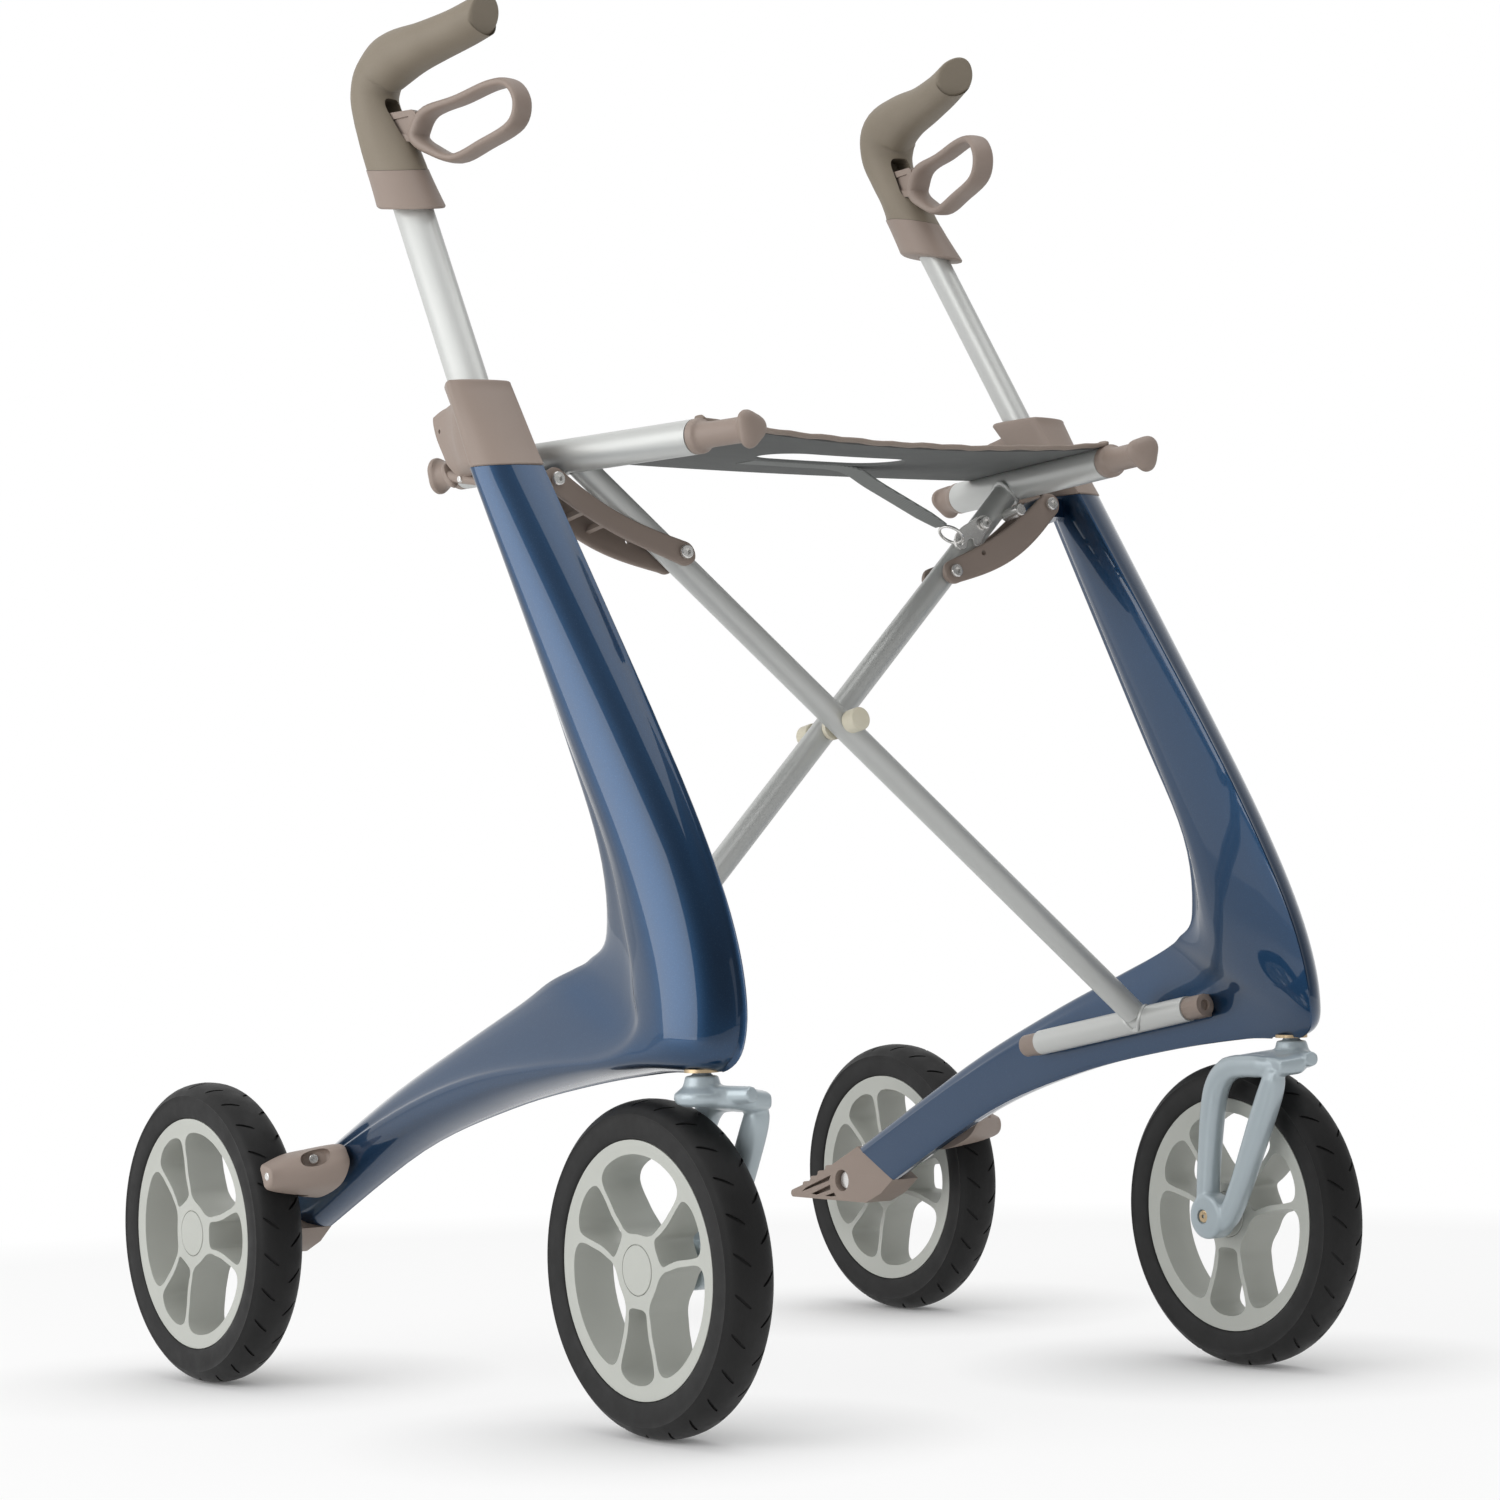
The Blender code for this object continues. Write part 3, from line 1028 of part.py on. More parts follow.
def link_plate(bow, deepest, low_s, high_s):
    """A plate between both pivots. bow is how far its upper edge hangs, deepest its lower edge."""
    length = link_length()
    eye = LINK_EYE_RADIUS
    rings = []
    stations = 12
    for k in range(stations + 1):
        turn = math.pi * k / stations
        along = length / 2 - (length / 2 + eye) * math.cos(turn)
        past = max(-along, along - length, 0.0)
        cap = math.sqrt(max(eye ** 2 - past ** 2, (0.12 * eye) ** 2))
        share = math.sin(math.pi * min(max(along / length, 0.0), 1.0))
        upper = -cap + bow * share
        lower = cap + deepest * share
        rings.append([link_point(along, upper, low_s), link_point(along, lower, low_s),
                      link_point(along, lower, high_s), link_point(along, upper, high_s)])
    return loft(rings)


def make_links():
    """Each link has a curved bar in front and a deeper crescent behind, with two ribs between. The
    left link is the same moulding turned half round."""
    inner, outer = LINK_GAP / 2, LINK_GAP / 2 + LINK_PLATE
    length = link_length()
    bar = link_plate(0.0060, 0.0085, inner, outer)
    crescent = link_plate(0.0100, 0.0230, -outer, -inner)
    ribs = []
    high, low = RIB_DEPTHS
    for along in RIBS_ALONG:
        after = along + RIB_THICKNESS
        corners = []
        for s in (-inner - LINK_PLATE / 2, inner + LINK_PLATE / 2):
            corners.append([link_point(along, high, s), link_point(after, high, s),
                            link_point(after, low, s), link_point(along, low, s)])
        ribs.append(loft(corners))
    link = union(bar, *ribs, crescent)
    holes = []
    for along in (0.0, length):
        start = link_point(along, 0.0, -0.03)
        holes.append(rod(start, start + FOLD_AXIS * 0.06, LINK_BOLT_RADIUS + RUN_GAP, 12))
    link = cut(link, *holes)
    turned_round = Matrix.Translation(FOLD_CENTRE) @ Matrix.Rotation(math.pi, 4, FOLD_UP) \
        @ Matrix.Translation(-FOLD_CENTRE)
    right_pivot = fold_point(-LINK_FRAME_X, LINK_FRAME_W, 0.0)
    left_pivot = fold_point(LINK_FRAME_X, LINK_FRAME_W, 0.0)
    left = moved(copy_of(link), turned_round)
    name_piece(link, "link_right", "taupe_plastic", right_pivot)
    name_piece(left, "link_left", "taupe_plastic", left_pivot)

    reach = outer + RUN_GAP
    head = reach + LINK_HEAD
    bolt = turned([(0.0, head), (0.0030, head), (LINK_HEAD_RADIUS, reach + 0.001),
                   (LINK_HEAD_RADIUS, reach), (LINK_BOLT_RADIUS, reach), (LINK_BOLT_RADIUS, -reach),
                   (LINK_HEAD_RADIUS, -reach), (LINK_HEAD_RADIUS, -head), (0.0, -head)],
                  left_pivot, FOLD_AXIS, 12)
    name_pair(bolt, "link_frame_bolt", "bright_steel")
    tube_wall = CROSS_RADIUS + RUN_GAP
    stubs = [
        turned([(0.0, head), (0.0030, head), (LINK_HEAD_RADIUS, reach + 0.001),
                (LINK_HEAD_RADIUS, reach), (LINK_BOLT_RADIUS, reach), (LINK_BOLT_RADIUS, tube_wall),
                (0.0, tube_wall)], link_point(length, 0.0, 0.0), FOLD_AXIS * sign, 12)
        for sign in (1, -1)
    ]
    name_piece(stubs[0], "link_tube_bolt_right", "bright_steel")
    name_piece(moved(stubs[1], turned_round), "link_tube_bolt_left", "bright_steel")


# Latch, seat and strap
def ring_direction():
    """From the ring's middle to the latch's hole."""
    return X_AXIS * 0.8 - FOLD_UP * 0.6


def make_latch():
    """A steel hook on the rear cross tube. Its jaw holds the link's edge, and the strap pulls it up."""
    px, pw = LATCH_PIVOT
    front = CROSS_RADIUS - CROSS_SPACING / 2 + RUN_GAP
    outline = arc((px, pw), 0.0062, -60, 100, 6) + placed([
        (-0.0200, -0.0010), (-0.0330, -0.0050), (-0.0385, -0.0110), (-0.0345, -0.0165), (-0.0280, -0.0150),
        (-0.0235, -0.0098), (-0.0195, -0.0120), (-0.0170, -0.0085), (-0.0060, -0.0070)], px, pw)
    hole_x, hole_w = px + LATCH_HOLE[0], pw + LATCH_HOLE[1]
    ring_hole = arc((hole_x, hole_w), 0.0024, 0, 324, 9)
    pivot_hole = arc((px, pw), LATCH_BOLT_RADIUS + RUN_GAP, 0, 330, 11)
    plate = slab([outline, ring_hole, pivot_hole], LATCH_THICKNESS, fold_plane(front + LATCH_THICKNESS / 2))
    along = ring_direction()
    centre = fold_point(hole_x, hole_w, front + LATCH_THICKNESS / 2) - along * RING_RADIUS
    name_piece(plate, "latch", "bright_steel", fold_point(px, pw, front))
    points = []
    for k in range(14):
        angle = 2 * math.pi * k / 14
        out = along * math.cos(angle) + FOLD_AXIS * math.sin(angle)
        points.append(centre + out * RING_RADIUS)
    name_piece(tube_path(points, RING_WIRE, closed=True), "latch_ring", "bright_steel")
    head = front + LATCH_THICKNESS + RUN_GAP
    bolt = turned([(0.0, head + 0.003), (0.0030, head + 0.003), (LATCH_HEAD_RADIUS, head + 0.0012),
                   (LATCH_HEAD_RADIUS, head), (LATCH_BOLT_RADIUS, head), (LATCH_BOLT_RADIUS, front - 0.010),
                   (0.0, front - 0.010)], fold_point(px, pw, 0.0), FOLD_AXIS, 12)
    name_piece(bolt, "latch_bolt", "bright_steel")


def seat_section(front_share):
    """Upper and lower points of the sling from the right seat tube to the left, at one share of the
    way from the front end of the seat tubes to their rear end."""
    centre = SEAT_TUBE_FRONT.lerp(SEAT_TUBE_REAR, front_share)
    radius = SEAT_TUBE_RADIUS + 3 * RUN_GAP
    sag = SEAT_SAG * (1.0 - 0.55 * front_share)
    lower, upper = [], []
    angles = (10, 35, 60, 82)
    for angle in angles:
        turn = math.radians(angle)
        for points, size in ((lower, radius), (upper, radius + SEAT_THICKNESS)):
            out = Vector((math.cos(turn), 0.0, math.sin(turn)))
            points.append(centre + out * size)
    edge = lower[-1].x
    spans = 8
    for k in range(1, spans):
        share = k / spans
        x = edge * (1 - 2 * share)
        fall = sag * math.sin(math.pi * share) ** 0.8
        rest = lower[len(angles) - 1].z
        lower.append(Vector((x, centre.y, rest - fall)))
        upper.append(Vector((x, centre.y, rest - fall + SEAT_THICKNESS)))
    for points in (lower, upper):
        for point in reversed(points[:len(angles)]):
            points.append(Vector((-point.x, point.y, point.z)))
    return lower, upper


def make_seat():
    """The fabric sling over both seat tubes, with its sag and the grab slot in its middle."""
    rings = []
    for share in (0.0, 0.18, 0.36, 0.54, 0.72, 0.92):
        lower, upper = seat_section(share)
        rings.append(lower + upper[::-1])
    seat = loft(rings)
    half_long, half_wide = SEAT_SLOT[0] / 2, SEAT_SLOT[1] / 2
    outline = arc((half_long - half_wide, SEAT_SLOT_Y), half_wide, -90, 90, 8) \
        + arc((half_wide - half_long, SEAT_SLOT_Y), half_wide, 90, 270, 8)
    slot = slab([outline], 0.10, Matrix.Translation((0.0, 0.0, 0.60)))
    name_piece(cut(seat, slot), "seat", "seat_fabric", smooth_angle=50)


def make_strap():
    """Webbing from under the seat to the latch's ring."""
    hole = fold_point(LATCH_PIVOT[0] + LATCH_HOLE[0], LATCH_PIVOT[1] + LATCH_HOLE[1], -0.0005)
    ring = hole - ring_direction() * (2 * RING_RADIUS)
    front = (STRAP_Y - STRAP_WIDTH / 2 - SEAT_TUBE_FRONT.y) / (SEAT_TUBE_REAR.y - SEAT_TUBE_FRONT.y)
    underside = seat_section(front)[0]
    top = underside[len(underside) // 2].z - RUN_GAP - STRAP_THICKNESS / 2
    route = smooth_through([
        Vector((-STRAP_SEWN, STRAP_Y, top + 0.0003)), Vector((0.0, STRAP_Y, top)),
        Vector((STRAP_SEWN, STRAP_Y, top - 0.0012)), Vector((STRAP_SEWN + 0.024, STRAP_Y - 0.004, 0.5885)),
        ring - ring_direction() * (RING_WIRE + RUN_GAP)], [1, 2, 3, 2])
    centres = [Vector(point) for point in route]
    rings = []
    for i, centre in enumerate(centres):
        along = (centres[min(i + 1, len(centres) - 1)] - centres[max(i - 1, 0)]).normalized()
        side = (Vector((0.0, 1.0, 0.0)) - along.y * along).normalized()
        normal = along.cross(side)
        narrow = 1.0 if i < len(centres) - 2 else 0.70
        half = STRAP_WIDTH / 2 * narrow
        rings.append([centre + side * half + normal * STRAP_THICKNESS / 2,
                      centre - side * half + normal * STRAP_THICKNESS / 2,
                      centre - side * half - normal * STRAP_THICKNESS / 2,
                      centre + side * half - normal * STRAP_THICKNESS / 2])
    name_piece(loft(rings), "strap", "grey_webbing")


def raised(point):
    """A point moved up to suit WHEEL_RADIUS: once its change at the axles, twice over the tyres."""
    change = WHEEL_RADIUS - AXLE_Z
    share = (point.z - LIFT_ONCE_BELOW) / (LIFT_TWICE_ABOVE - LIFT_ONCE_BELOW)
    return point + Z_AXIS * (change * (1.0 + min(max(share, 0.0), 1.0)))


def raise_on_wheels():
    for obj in PARTS.objects:
        old = obj.location.copy()
        obj.location = raised(old) if old.length > 0.0 else old
        for vertex in obj.data.vertices:
            vertex.co = raised(vertex.co + old) - obj.location


def main():
    clear_scene()
    make_materials()
    make_frame()
    make_collar()
    make_clamp()
    make_end_cap()
    make_brake_arm()
    make_rear_axle()
    make_caster()
    make_handle_post()
    make_handle_base()
    make_grip()
    make_brake_lever()
    make_cross_tubes()
    make_pivot_blocks()
    make_seat_plugs()
    make_links()
    make_latch()
    make_seat()
    make_strap()
    raise_on_wheels()
    make_wheel("rear", REAR_WHEEL_X, REAR_AXLE_Y, 30)
    make_wheel("front", FRONT_WHEEL_X, FRONT_AXLE_Y, 90)


main()
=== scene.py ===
"""The rollator in its real finishes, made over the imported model. The file follows the object as it is
put together: side frames, wheels and casters, handles, scissor, links, latch, seat and strap.
"""

import math

import bpy
from mathutils import Matrix, Vector


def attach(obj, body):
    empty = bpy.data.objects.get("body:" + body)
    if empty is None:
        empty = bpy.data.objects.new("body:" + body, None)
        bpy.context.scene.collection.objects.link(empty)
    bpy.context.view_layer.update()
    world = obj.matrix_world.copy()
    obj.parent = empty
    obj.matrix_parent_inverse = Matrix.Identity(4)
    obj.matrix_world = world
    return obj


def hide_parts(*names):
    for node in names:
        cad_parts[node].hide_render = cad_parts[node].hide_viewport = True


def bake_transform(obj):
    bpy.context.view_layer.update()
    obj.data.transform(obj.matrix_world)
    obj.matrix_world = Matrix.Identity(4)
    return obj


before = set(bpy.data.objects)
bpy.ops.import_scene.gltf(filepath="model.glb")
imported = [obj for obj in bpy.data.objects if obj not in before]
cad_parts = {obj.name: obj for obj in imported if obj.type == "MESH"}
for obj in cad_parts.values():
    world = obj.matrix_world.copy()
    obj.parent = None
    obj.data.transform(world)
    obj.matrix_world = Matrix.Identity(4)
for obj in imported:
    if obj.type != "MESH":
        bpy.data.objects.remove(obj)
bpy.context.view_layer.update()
bpy.ops.object.select_all(action="DESELECT")


# Camera, floor and light: a pale studio floor under soft boxes, and the camera at knee height in
# front of the user's right, looking slightly up.
camera = bpy.data.objects.new("camera", bpy.data.cameras.new("camera"))
bpy.context.scene.collection.objects.link(camera)
camera.data.lens = 93.063
camera.data.sensor_width = 36.0
camera.location = (-1.5466, -2.1015, 0.3269)
camera.rotation_euler = (math.radians(91.931), math.radians(1.334), math.radians(-36.327))
bpy.context.scene.camera = camera
bpy.context.scene.view_settings.view_transform = "Standard"


class Wire:
    """A shader socket that is worked with like a number."""

    def __init__(self, nodes, socket):
        self.nodes = nodes
        self.socket = socket

    def work(self, operation, *values):
        return self.nodes.node("Math", dict(enumerate(values)), operation=operation)

    def __add__(self, other):
        return self.work("ADD", self, other)

    def __sub__(self, other):
        return self.work("SUBTRACT", self, other)

    def __mul__(self, other):
        return self.work("MULTIPLY", self, other)

    def __rsub__(self, other):
        return self.work("SUBTRACT", other, self)

    def __gt__(self, other):
        return self.work("GREATER_THAN", self, other)

    __radd__ = __add__
    __rmul__ = __mul__


class Nodes:
    """A shader's nodes, written as expressions."""

    def __init__(self, tree):
        self.tree = tree

    def feed(self, node, socket, value):
        target = node.inputs[socket]
        if isinstance(value, Wire):
            self.tree.links.new(value.socket, target)
        elif isinstance(value, tuple) and target.type == "RGBA":
            target.default_value = (*value, 1.0)
        else:
            target.default_value = value

    def node(self, kind, values=None, output=0, **settings):
        """Adds a node with its inputs fed, and gives one of its outputs."""
        node = self.tree.nodes.new("ShaderNode" + kind)
        for name, value in settings.items():
            setattr(node, name, value)
        for socket, value in (values or {}).items():
            self.feed(node, socket, value)
        return Wire(self, node.outputs[output])

    def range(self, value, low, high, new_low, new_high):
        return self.node("MapRange", {0: value, 1: low, 2: high, 3: new_low, 4: new_high})


class Finish(Nodes):
    """A material of one surface. Names like Coat_Weight fix an input of its shader."""

    def __init__(self, name, **fixed):
        self.slot = name
        self.material = bpy.data.materials.new("finished " + name)
        self.material.use_nodes = True
        super().__init__(self.material.node_tree)
        self.shader = self.tree.nodes["Principled BSDF"]
        for socket, value in fixed.items():
            self.set(socket.replace("_", " "), value)

    def set(self, socket, value):
        self.feed(self.shader, socket, value)

    def place(self):
        """Object coordinates."""
        return self.node("TexCoord", output=3)

    def speckle(self, size, detail=2.0):
        """Even noise whose spots are about size across, in metres."""
        return self.node("TexNoise", {"Vector": self.place(), "Scale": 1.0 / size, "Detail": detail})

    def bands(self, direction, scale, distortion):
        """Fine ribs across a direction."""
        return self.node("TexWave", {"Vector": self.place(), "Scale": scale, "Distortion": distortion},
                         wave_type="BANDS", bands_direction=direction)

    def between(self, amount, first, second):
        """A colour between two, by an amount from 0 to 1."""
        return self.node("Mix", {0: amount, 6: first, 7: second}, 2, data_type="RGBA")

    def dress(self, tone, first, second, grain, smooth, rough, span=(0.3, 0.7)):
        """Colour between two by the tone, and roughness between two by the grain."""
        self.set("Base Color", self.between(tone, first, second))
        self.set("Roughness", self.range(grain, *span, smooth, rough))

    def relief(self, height, depth, strength):
        """Raises the surface by height times depth, in metres."""
        self.set("Normal", self.node("Bump", {"Height": height, "Distance": depth, "Strength": strength}))


WHEEL_RADIUS = 0.1
FRONT_WHEEL_X, REAR_WHEEL_X, AXLE_Y = 0.2365, 0.2954, 0.2188
bpy.ops.mesh.primitive_plane_add(size=24.0, location=(0.0, 0.0, 0.0))
floor = bpy.context.active_object
floor.name = "floor"
studio = Finish("studio_floor", Roughness=0.9)
studio.set("Base Color", (0.93, 0.93, 0.93))
away = studio.node("VectorMath", {0: studio.place()}, 1, operation="LENGTH")
nearest = 9.0
for x, y in ((FRONT_WHEEL_X, -AXLE_Y), (REAR_WHEEL_X, AXLE_Y)):
    for spot in ((-x, y, 0.0), (x, y, 0.0)):
        reach = studio.node("VectorMath", {0: studio.place(), 1: spot}, 1, operation="DISTANCE")
        nearest = reach.work("MINIMUM", reach, nearest)
seen = studio.node("LightPath", output="Is Camera Ray")
mirrored_rays = studio.node("LightPath", output="Is Glossy Ray")
paper = studio.node("Emission", {"Color": (1.0, 1.0, 1.0), "Strength": 1.0})
fade = nearest.work("MAXIMUM", studio.range(nearest, 0.02, 0.2, 0.08, 0.76),
                    studio.range(away, 0.35, 1.3, 0.0, 1.0))
shown = fade.work("MAXIMUM", seen * fade, mirrored_rays * 0.35)
mixed = studio.node("MixShader", {0: shown, 1: Wire(studio, studio.shader.outputs[0]), 2: paper})
studio.tree.links.new(mixed.socket, studio.tree.nodes["Material Output"].inputs[0])
floor.data.materials.append(studio.material)

world = bpy.data.worlds.new("studio")
bpy.context.scene.world = world
world.use_nodes = True
sky = Nodes(world.node_tree)
mirror = sky.node("LightPath", output="Is Glossy Ray")
aim = sky.node("SeparateXYZ", {0: sky.node("TexCoord", output="Generated")}, "Y")
level = mirror * sky.range(aim, -0.55, 0.65, 0.16, 1.0) + (1.0 - mirror) * 0.55
straight = level.work("MAXIMUM", sky.node("LightPath", output="Is Camera Ray"),
                      sky.node("LightPath", output="Is Transmission Ray"))
backdrop = sky.tree.nodes["Background"]
sky.feed(backdrop, "Color", (1.0, 1.0, 1.0))
sky.feed(backdrop, "Strength", level.work("MAXIMUM", level, straight))


def soft_box(name, place, target, size, power):
    """A rectangular lamp, turned towards its target."""
    lamp = bpy.data.objects.new(name, bpy.data.lights.new(name, "AREA"))
    bpy.context.scene.collection.objects.link(lamp)
    lamp.data.shape = "RECTANGLE"
    lamp.data.size, lamp.data.size_y = size
    lamp.data.energy = power
    lamp.location = place
    lamp.rotation_euler = (Vector(target) - Vector(place)).to_track_quat("-Z", "Y").to_euler()


soft_box("key", (-2.7, 0.25, 1.2), (0.0, 0.0, 0.45), (2.7, 2.4), 46)
soft_box("top", (0.2, -0.3, 2.8), (0.0, 0.0, 0.4), (2.2, 2.2), 21)
soft_box("fill", (1.2, -2.6, 1.0), (0.0, 0.0, 0.4), (1.2, 1.6), 2.5)


# Side frames: one hollow shell a side, lofted from the collar down the upright, round the elbow over
# the caster and back along the arm, lacquered in a deep metallic navy under clear coat.
def choose(*objects):
    """Makes these objects the only ones selected, the first of them active."""
    bpy.ops.object.select_all(action="DESELECT")
    for obj in objects:
        obj.select_set(True)
    bpy.context.view_layer.objects.active = objects[0]


def new_object(name, points, edges, faces):
    mesh = bpy.data.meshes.new(name)
    mesh.from_pydata([tuple(point) for point in points], edges, faces)
    obj = bpy.data.objects.new(name, mesh)
    bpy.context.scene.collection.objects.link(obj)
    return obj


def loft(name, rings, closed=False):
    """A skin through rings of points, closed by its first and last ring, or round on itself."""
    count, last = len(rings[0]), len(rings) - 1
    faces = []
    for row in range(last + closed):
        here, there = row * count, (row + 1) % len(rings) * count
        for i in range(count):
            j = (i + 1) % count
            faces.append((here + i, here + j, there + j, there + i))
    if not closed:
        faces.append(tuple(range(count))[::-1])
        faces.append(tuple(range(last * count, last * count + count)))
    return tidy(new_object(name, [point for ring in rings for point in ring], [], faces))


def tidy(obj, angle=35):
    """Applies an object's modifiers and place, merges doubles, faces the skin outwards and shades it."""
    choose(obj)
    for modifier in list(obj.modifiers):
        bpy.ops.object.modifier_apply(modifier=modifier.name)
    bpy.ops.object.transform_apply(location=True, rotation=True, scale=True)
    bpy.ops.object.mode_set(mode="EDIT")
    bpy.ops.mesh.select_all(action="SELECT")
    bpy.ops.mesh.remove_doubles(threshold=0.00001)
    bpy.ops.mesh.normals_make_consistent(inside=False)
    bpy.ops.object.mode_set(mode="OBJECT")
    bpy.ops.object.shade_smooth_by_angle(angle=math.radians(angle))
    return obj


def bevel(obj, width, segments=2, limit=35):
    modifier = obj.modifiers.new("edge", "BEVEL")
    modifier.width = width
    modifier.segments = segments
    modifier.angle_limit = math.radians(limit)
    return tidy(obj)


def boolean(obj, tool, operation="DIFFERENCE"):
    modifier = obj.modifiers.new("cut", "BOOLEAN")
    modifier.operation = operation
    modifier.solver = "EXACT"
    modifier.object = tool
    tidy(obj)
    bpy.data.objects.remove(tool, do_unlink=True)
    return obj


def join(*objects):
    choose(*objects)
    bpy.ops.object.join()
    return objects[0]


def copied(obj, name, matrix):
    """A copy with its own mesh, moved or mirrored by a matrix."""
    twin = bpy.data.objects.new(name, obj.data.copy())
    bpy.context.scene.collection.objects.link(twin)
    twin.data.transform(matrix)
    if matrix.determinant() < 0:
        twin.data.flip_normals()
    return twin


def mirrored(obj, name):
    """The right-hand copy of a left-hand piece."""
    return copied(obj, name, Matrix.Diagonal((-1.0, 1.0, 1.0, 1.0)))


def cover(obj, finish):
    obj.data.materials.clear()
    obj.data.materials.append(finish.material)


def wear(obj, finish, body, *nodes):
    """Gives a finished piece its material and body, and hides the nodes of the model that it stands for."""
    cover(obj, finish)
    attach(obj, body)
    if nodes:
        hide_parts(*nodes)


def wear_pair(left, finish, body, *nodes):
    """The same for a left-hand piece and its mirrored twin."""
    right = mirrored(left, left.name + "_right")
    left.name += "_left"
    for obj, side in ((left, "_left"), (right, "_right")):
        wear(obj, finish, body + side, *[node + side for node in nodes])


def coat(finish, *nodes):
    """Gives nodes of the model, which keep their shape, a finish."""
    for name in nodes:
        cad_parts[name].material_slots[0].material = finish.material


def through(points, steps):
    """Points of a smooth curve through the given ones, with steps points in each span."""
    result = []
    last = len(points) - 1
    for i in range(last):
        a, b, c, d = points[max(i - 1, 0)], points[i], points[i + 1], points[min(i + 2, last)]
        count = steps[i] if isinstance(steps, (list, tuple)) else steps
        for k in range(count):
            t = k / count
            result.append([0.5 * (2 * q + (r - p) * t + (2 * p - 5 * q + 4 * r - s) * t * t
                                  + (3 * q - p - 3 * r + s) * t ** 3) for p, q, r, s in zip(a, b, c, d)])
    result.append(list(points[last]))
    return result


def around(points, steps):
    """The same for a closed outline."""
    count = len(points)
    result = []
    for i in range(count):
        a, b, c, d = (points[(i + k) % count] for k in (-1, 0, 1, 2))
        result.extend(through([a, b, c, d], steps)[steps:2 * steps])
    return result


def tangent(points, i):
    """The direction of a line of points at one of them."""
    return (points[min(i + 1, len(points) - 1)] - points[max(i - 1, 0)]).normalized()


def squared(way, axis):
    """The direction nearest to way that is square to axis."""
    return (way - way.dot(axis) * axis).normalized()


def shell_ring(station, shrink=0.0):
    """The shell's section: round nose in front, swollen outer face as far as a crease, a set-in face
    behind it that runs to the slim rear edge, and a flat inner face."""
    inner, outer, nose, tail_outer, tail_inner, bend, ridge_back, ridge_share = station[4:]
    front, rear = Vector((0.0, station[0], station[1])), Vector((0.0, station[2], station[3]))
    chord = (rear - front).length
    along = (rear - front) / chord
    front = front + along * shrink
    chord -= 2 * shrink
    inner += shrink
    width = outer - shrink - inner
    nose -= shrink
    bend -= shrink
    corner = chord - 0.0078
    ridge = chord - ridge_back
    tail = tail_outer - tail_inner
    points = []
    for k in range(6):
        angle = math.radians(18 * k)
        points.append((nose * (1 - math.cos(angle)), 0.14 + 0.86 * math.sin(angle)))
    points += [(ridge, ridge_share),
               (ridge + 0.2 * (corner - ridge), ridge_share + 0.4 * (tail_outer - ridge_share)),
               (corner, tail_outer), (chord - 0.0008, tail_inner + 0.585 * tail),
               (chord - 0.0015, tail_inner + 0.128 * tail), (corner, tail_inner),
               (bend, 0.03 * (1 - (bend - 0.0032) / (corner - 0.0032))), (0.0032, 0.03)]
    return [front + along * depth + Vector((inner + width * share, 0.0, 0.0))
            for depth, share in around(points, 4)]


SHELL_INNER, SHELL_OUTER = 0.2185, 0.256
shell_controls = [(*row[:4], SHELL_INNER + row[4], SHELL_OUTER + row[5], *row[6:]) for row in (
    (-0.0918, 0.588, -0.043, 0.588, 0.0, 0.0, 0.03, 0.68, 0.25, 0.03, 0.0106, 0.79),
    (-0.203, 0.43, -0.131, 0.43, 0.0, 0.0, 0.044, 0.72, 0.25, 0.0503, 0.015, 0.84),
    (-0.255, 0.35, -0.175, 0.35, 0.0, 0.0, 0.046, 0.78, 0.25, 0.06, 0.0225, 0.9),
    (-0.285, 0.29, -0.179, 0.298, 0.0015, 0.0008, 0.048, 0.68, 0.3, 0.072, 0.042, 0.94),
    (-0.295, 0.243, -0.164, 0.2825, 0.0045, 0.002, 0.048, 0.66, 0.3, 0.076, 0.07, 0.96),
    (-0.283, 0.219, -0.152, 0.2763, 0.01, 0.003, 0.04, 0.68, 0.26, 0.074, 0.09, 0.98),
    (-0.228, 0.216, -0.131, 0.2688, 0.0125, 0.005, 0.015, 0.74, 0.2, 0.062, 0.0905, 1.0),
    (-0.15, 0.206, -0.098, 0.2563, 0.0127, 0.005, 0.0125, 0.78, 0.1, 0.046, 0.055, 1.0),
    (-0.06, 0.1885, -0.03, 0.231, 0.013, 0.005, 0.015, 0.82, 0.04, 0.037, 0.03, 1.0),
    (0.04, 0.1583, 0.065, 0.192, 0.016, 0.006, 0.018, 0.85, 0.02, 0.03, 0.018, 0.99),
    (0.1572, 0.1035, 0.1985, 0.1265, 0.0192, 0.0072, 0.032, 0.94, 0.0, 0.0345, 0.01, 0.97),
)]
shell_stations = through(shell_controls, [10, 6, 6, 8, 8, 8, 6, 6, 6, 6])
shell = loft("shell", [shell_ring(station) for station in shell_stations])

FOLD_TILT = math.radians(9.6)
FOLD_CENTRE = Vector((0.0, -0.0934, 0.4253))
FOLD_AXIS = Vector((0.0, -math.cos(FOLD_TILT), math.sin(FOLD_TILT)))
FOLD_UP = Vector((0.0, math.sin(FOLD_TILT), math.cos(FOLD_TILT)))
ACROSS, REARWARD, UPWARD = Vector((1.0, 0.0, 0.0)), Vector((0.0, 1.0, 0.0)), Vector((0.0, 0.0, 1.0))


def fold_point(x, w, s):
    """A point in the scissor's own plane: x across, w up in it, s forward along the pivot axis."""
    return FOLD_CENTRE + ACROSS * x + FOLD_UP * w + FOLD_AXIS * s


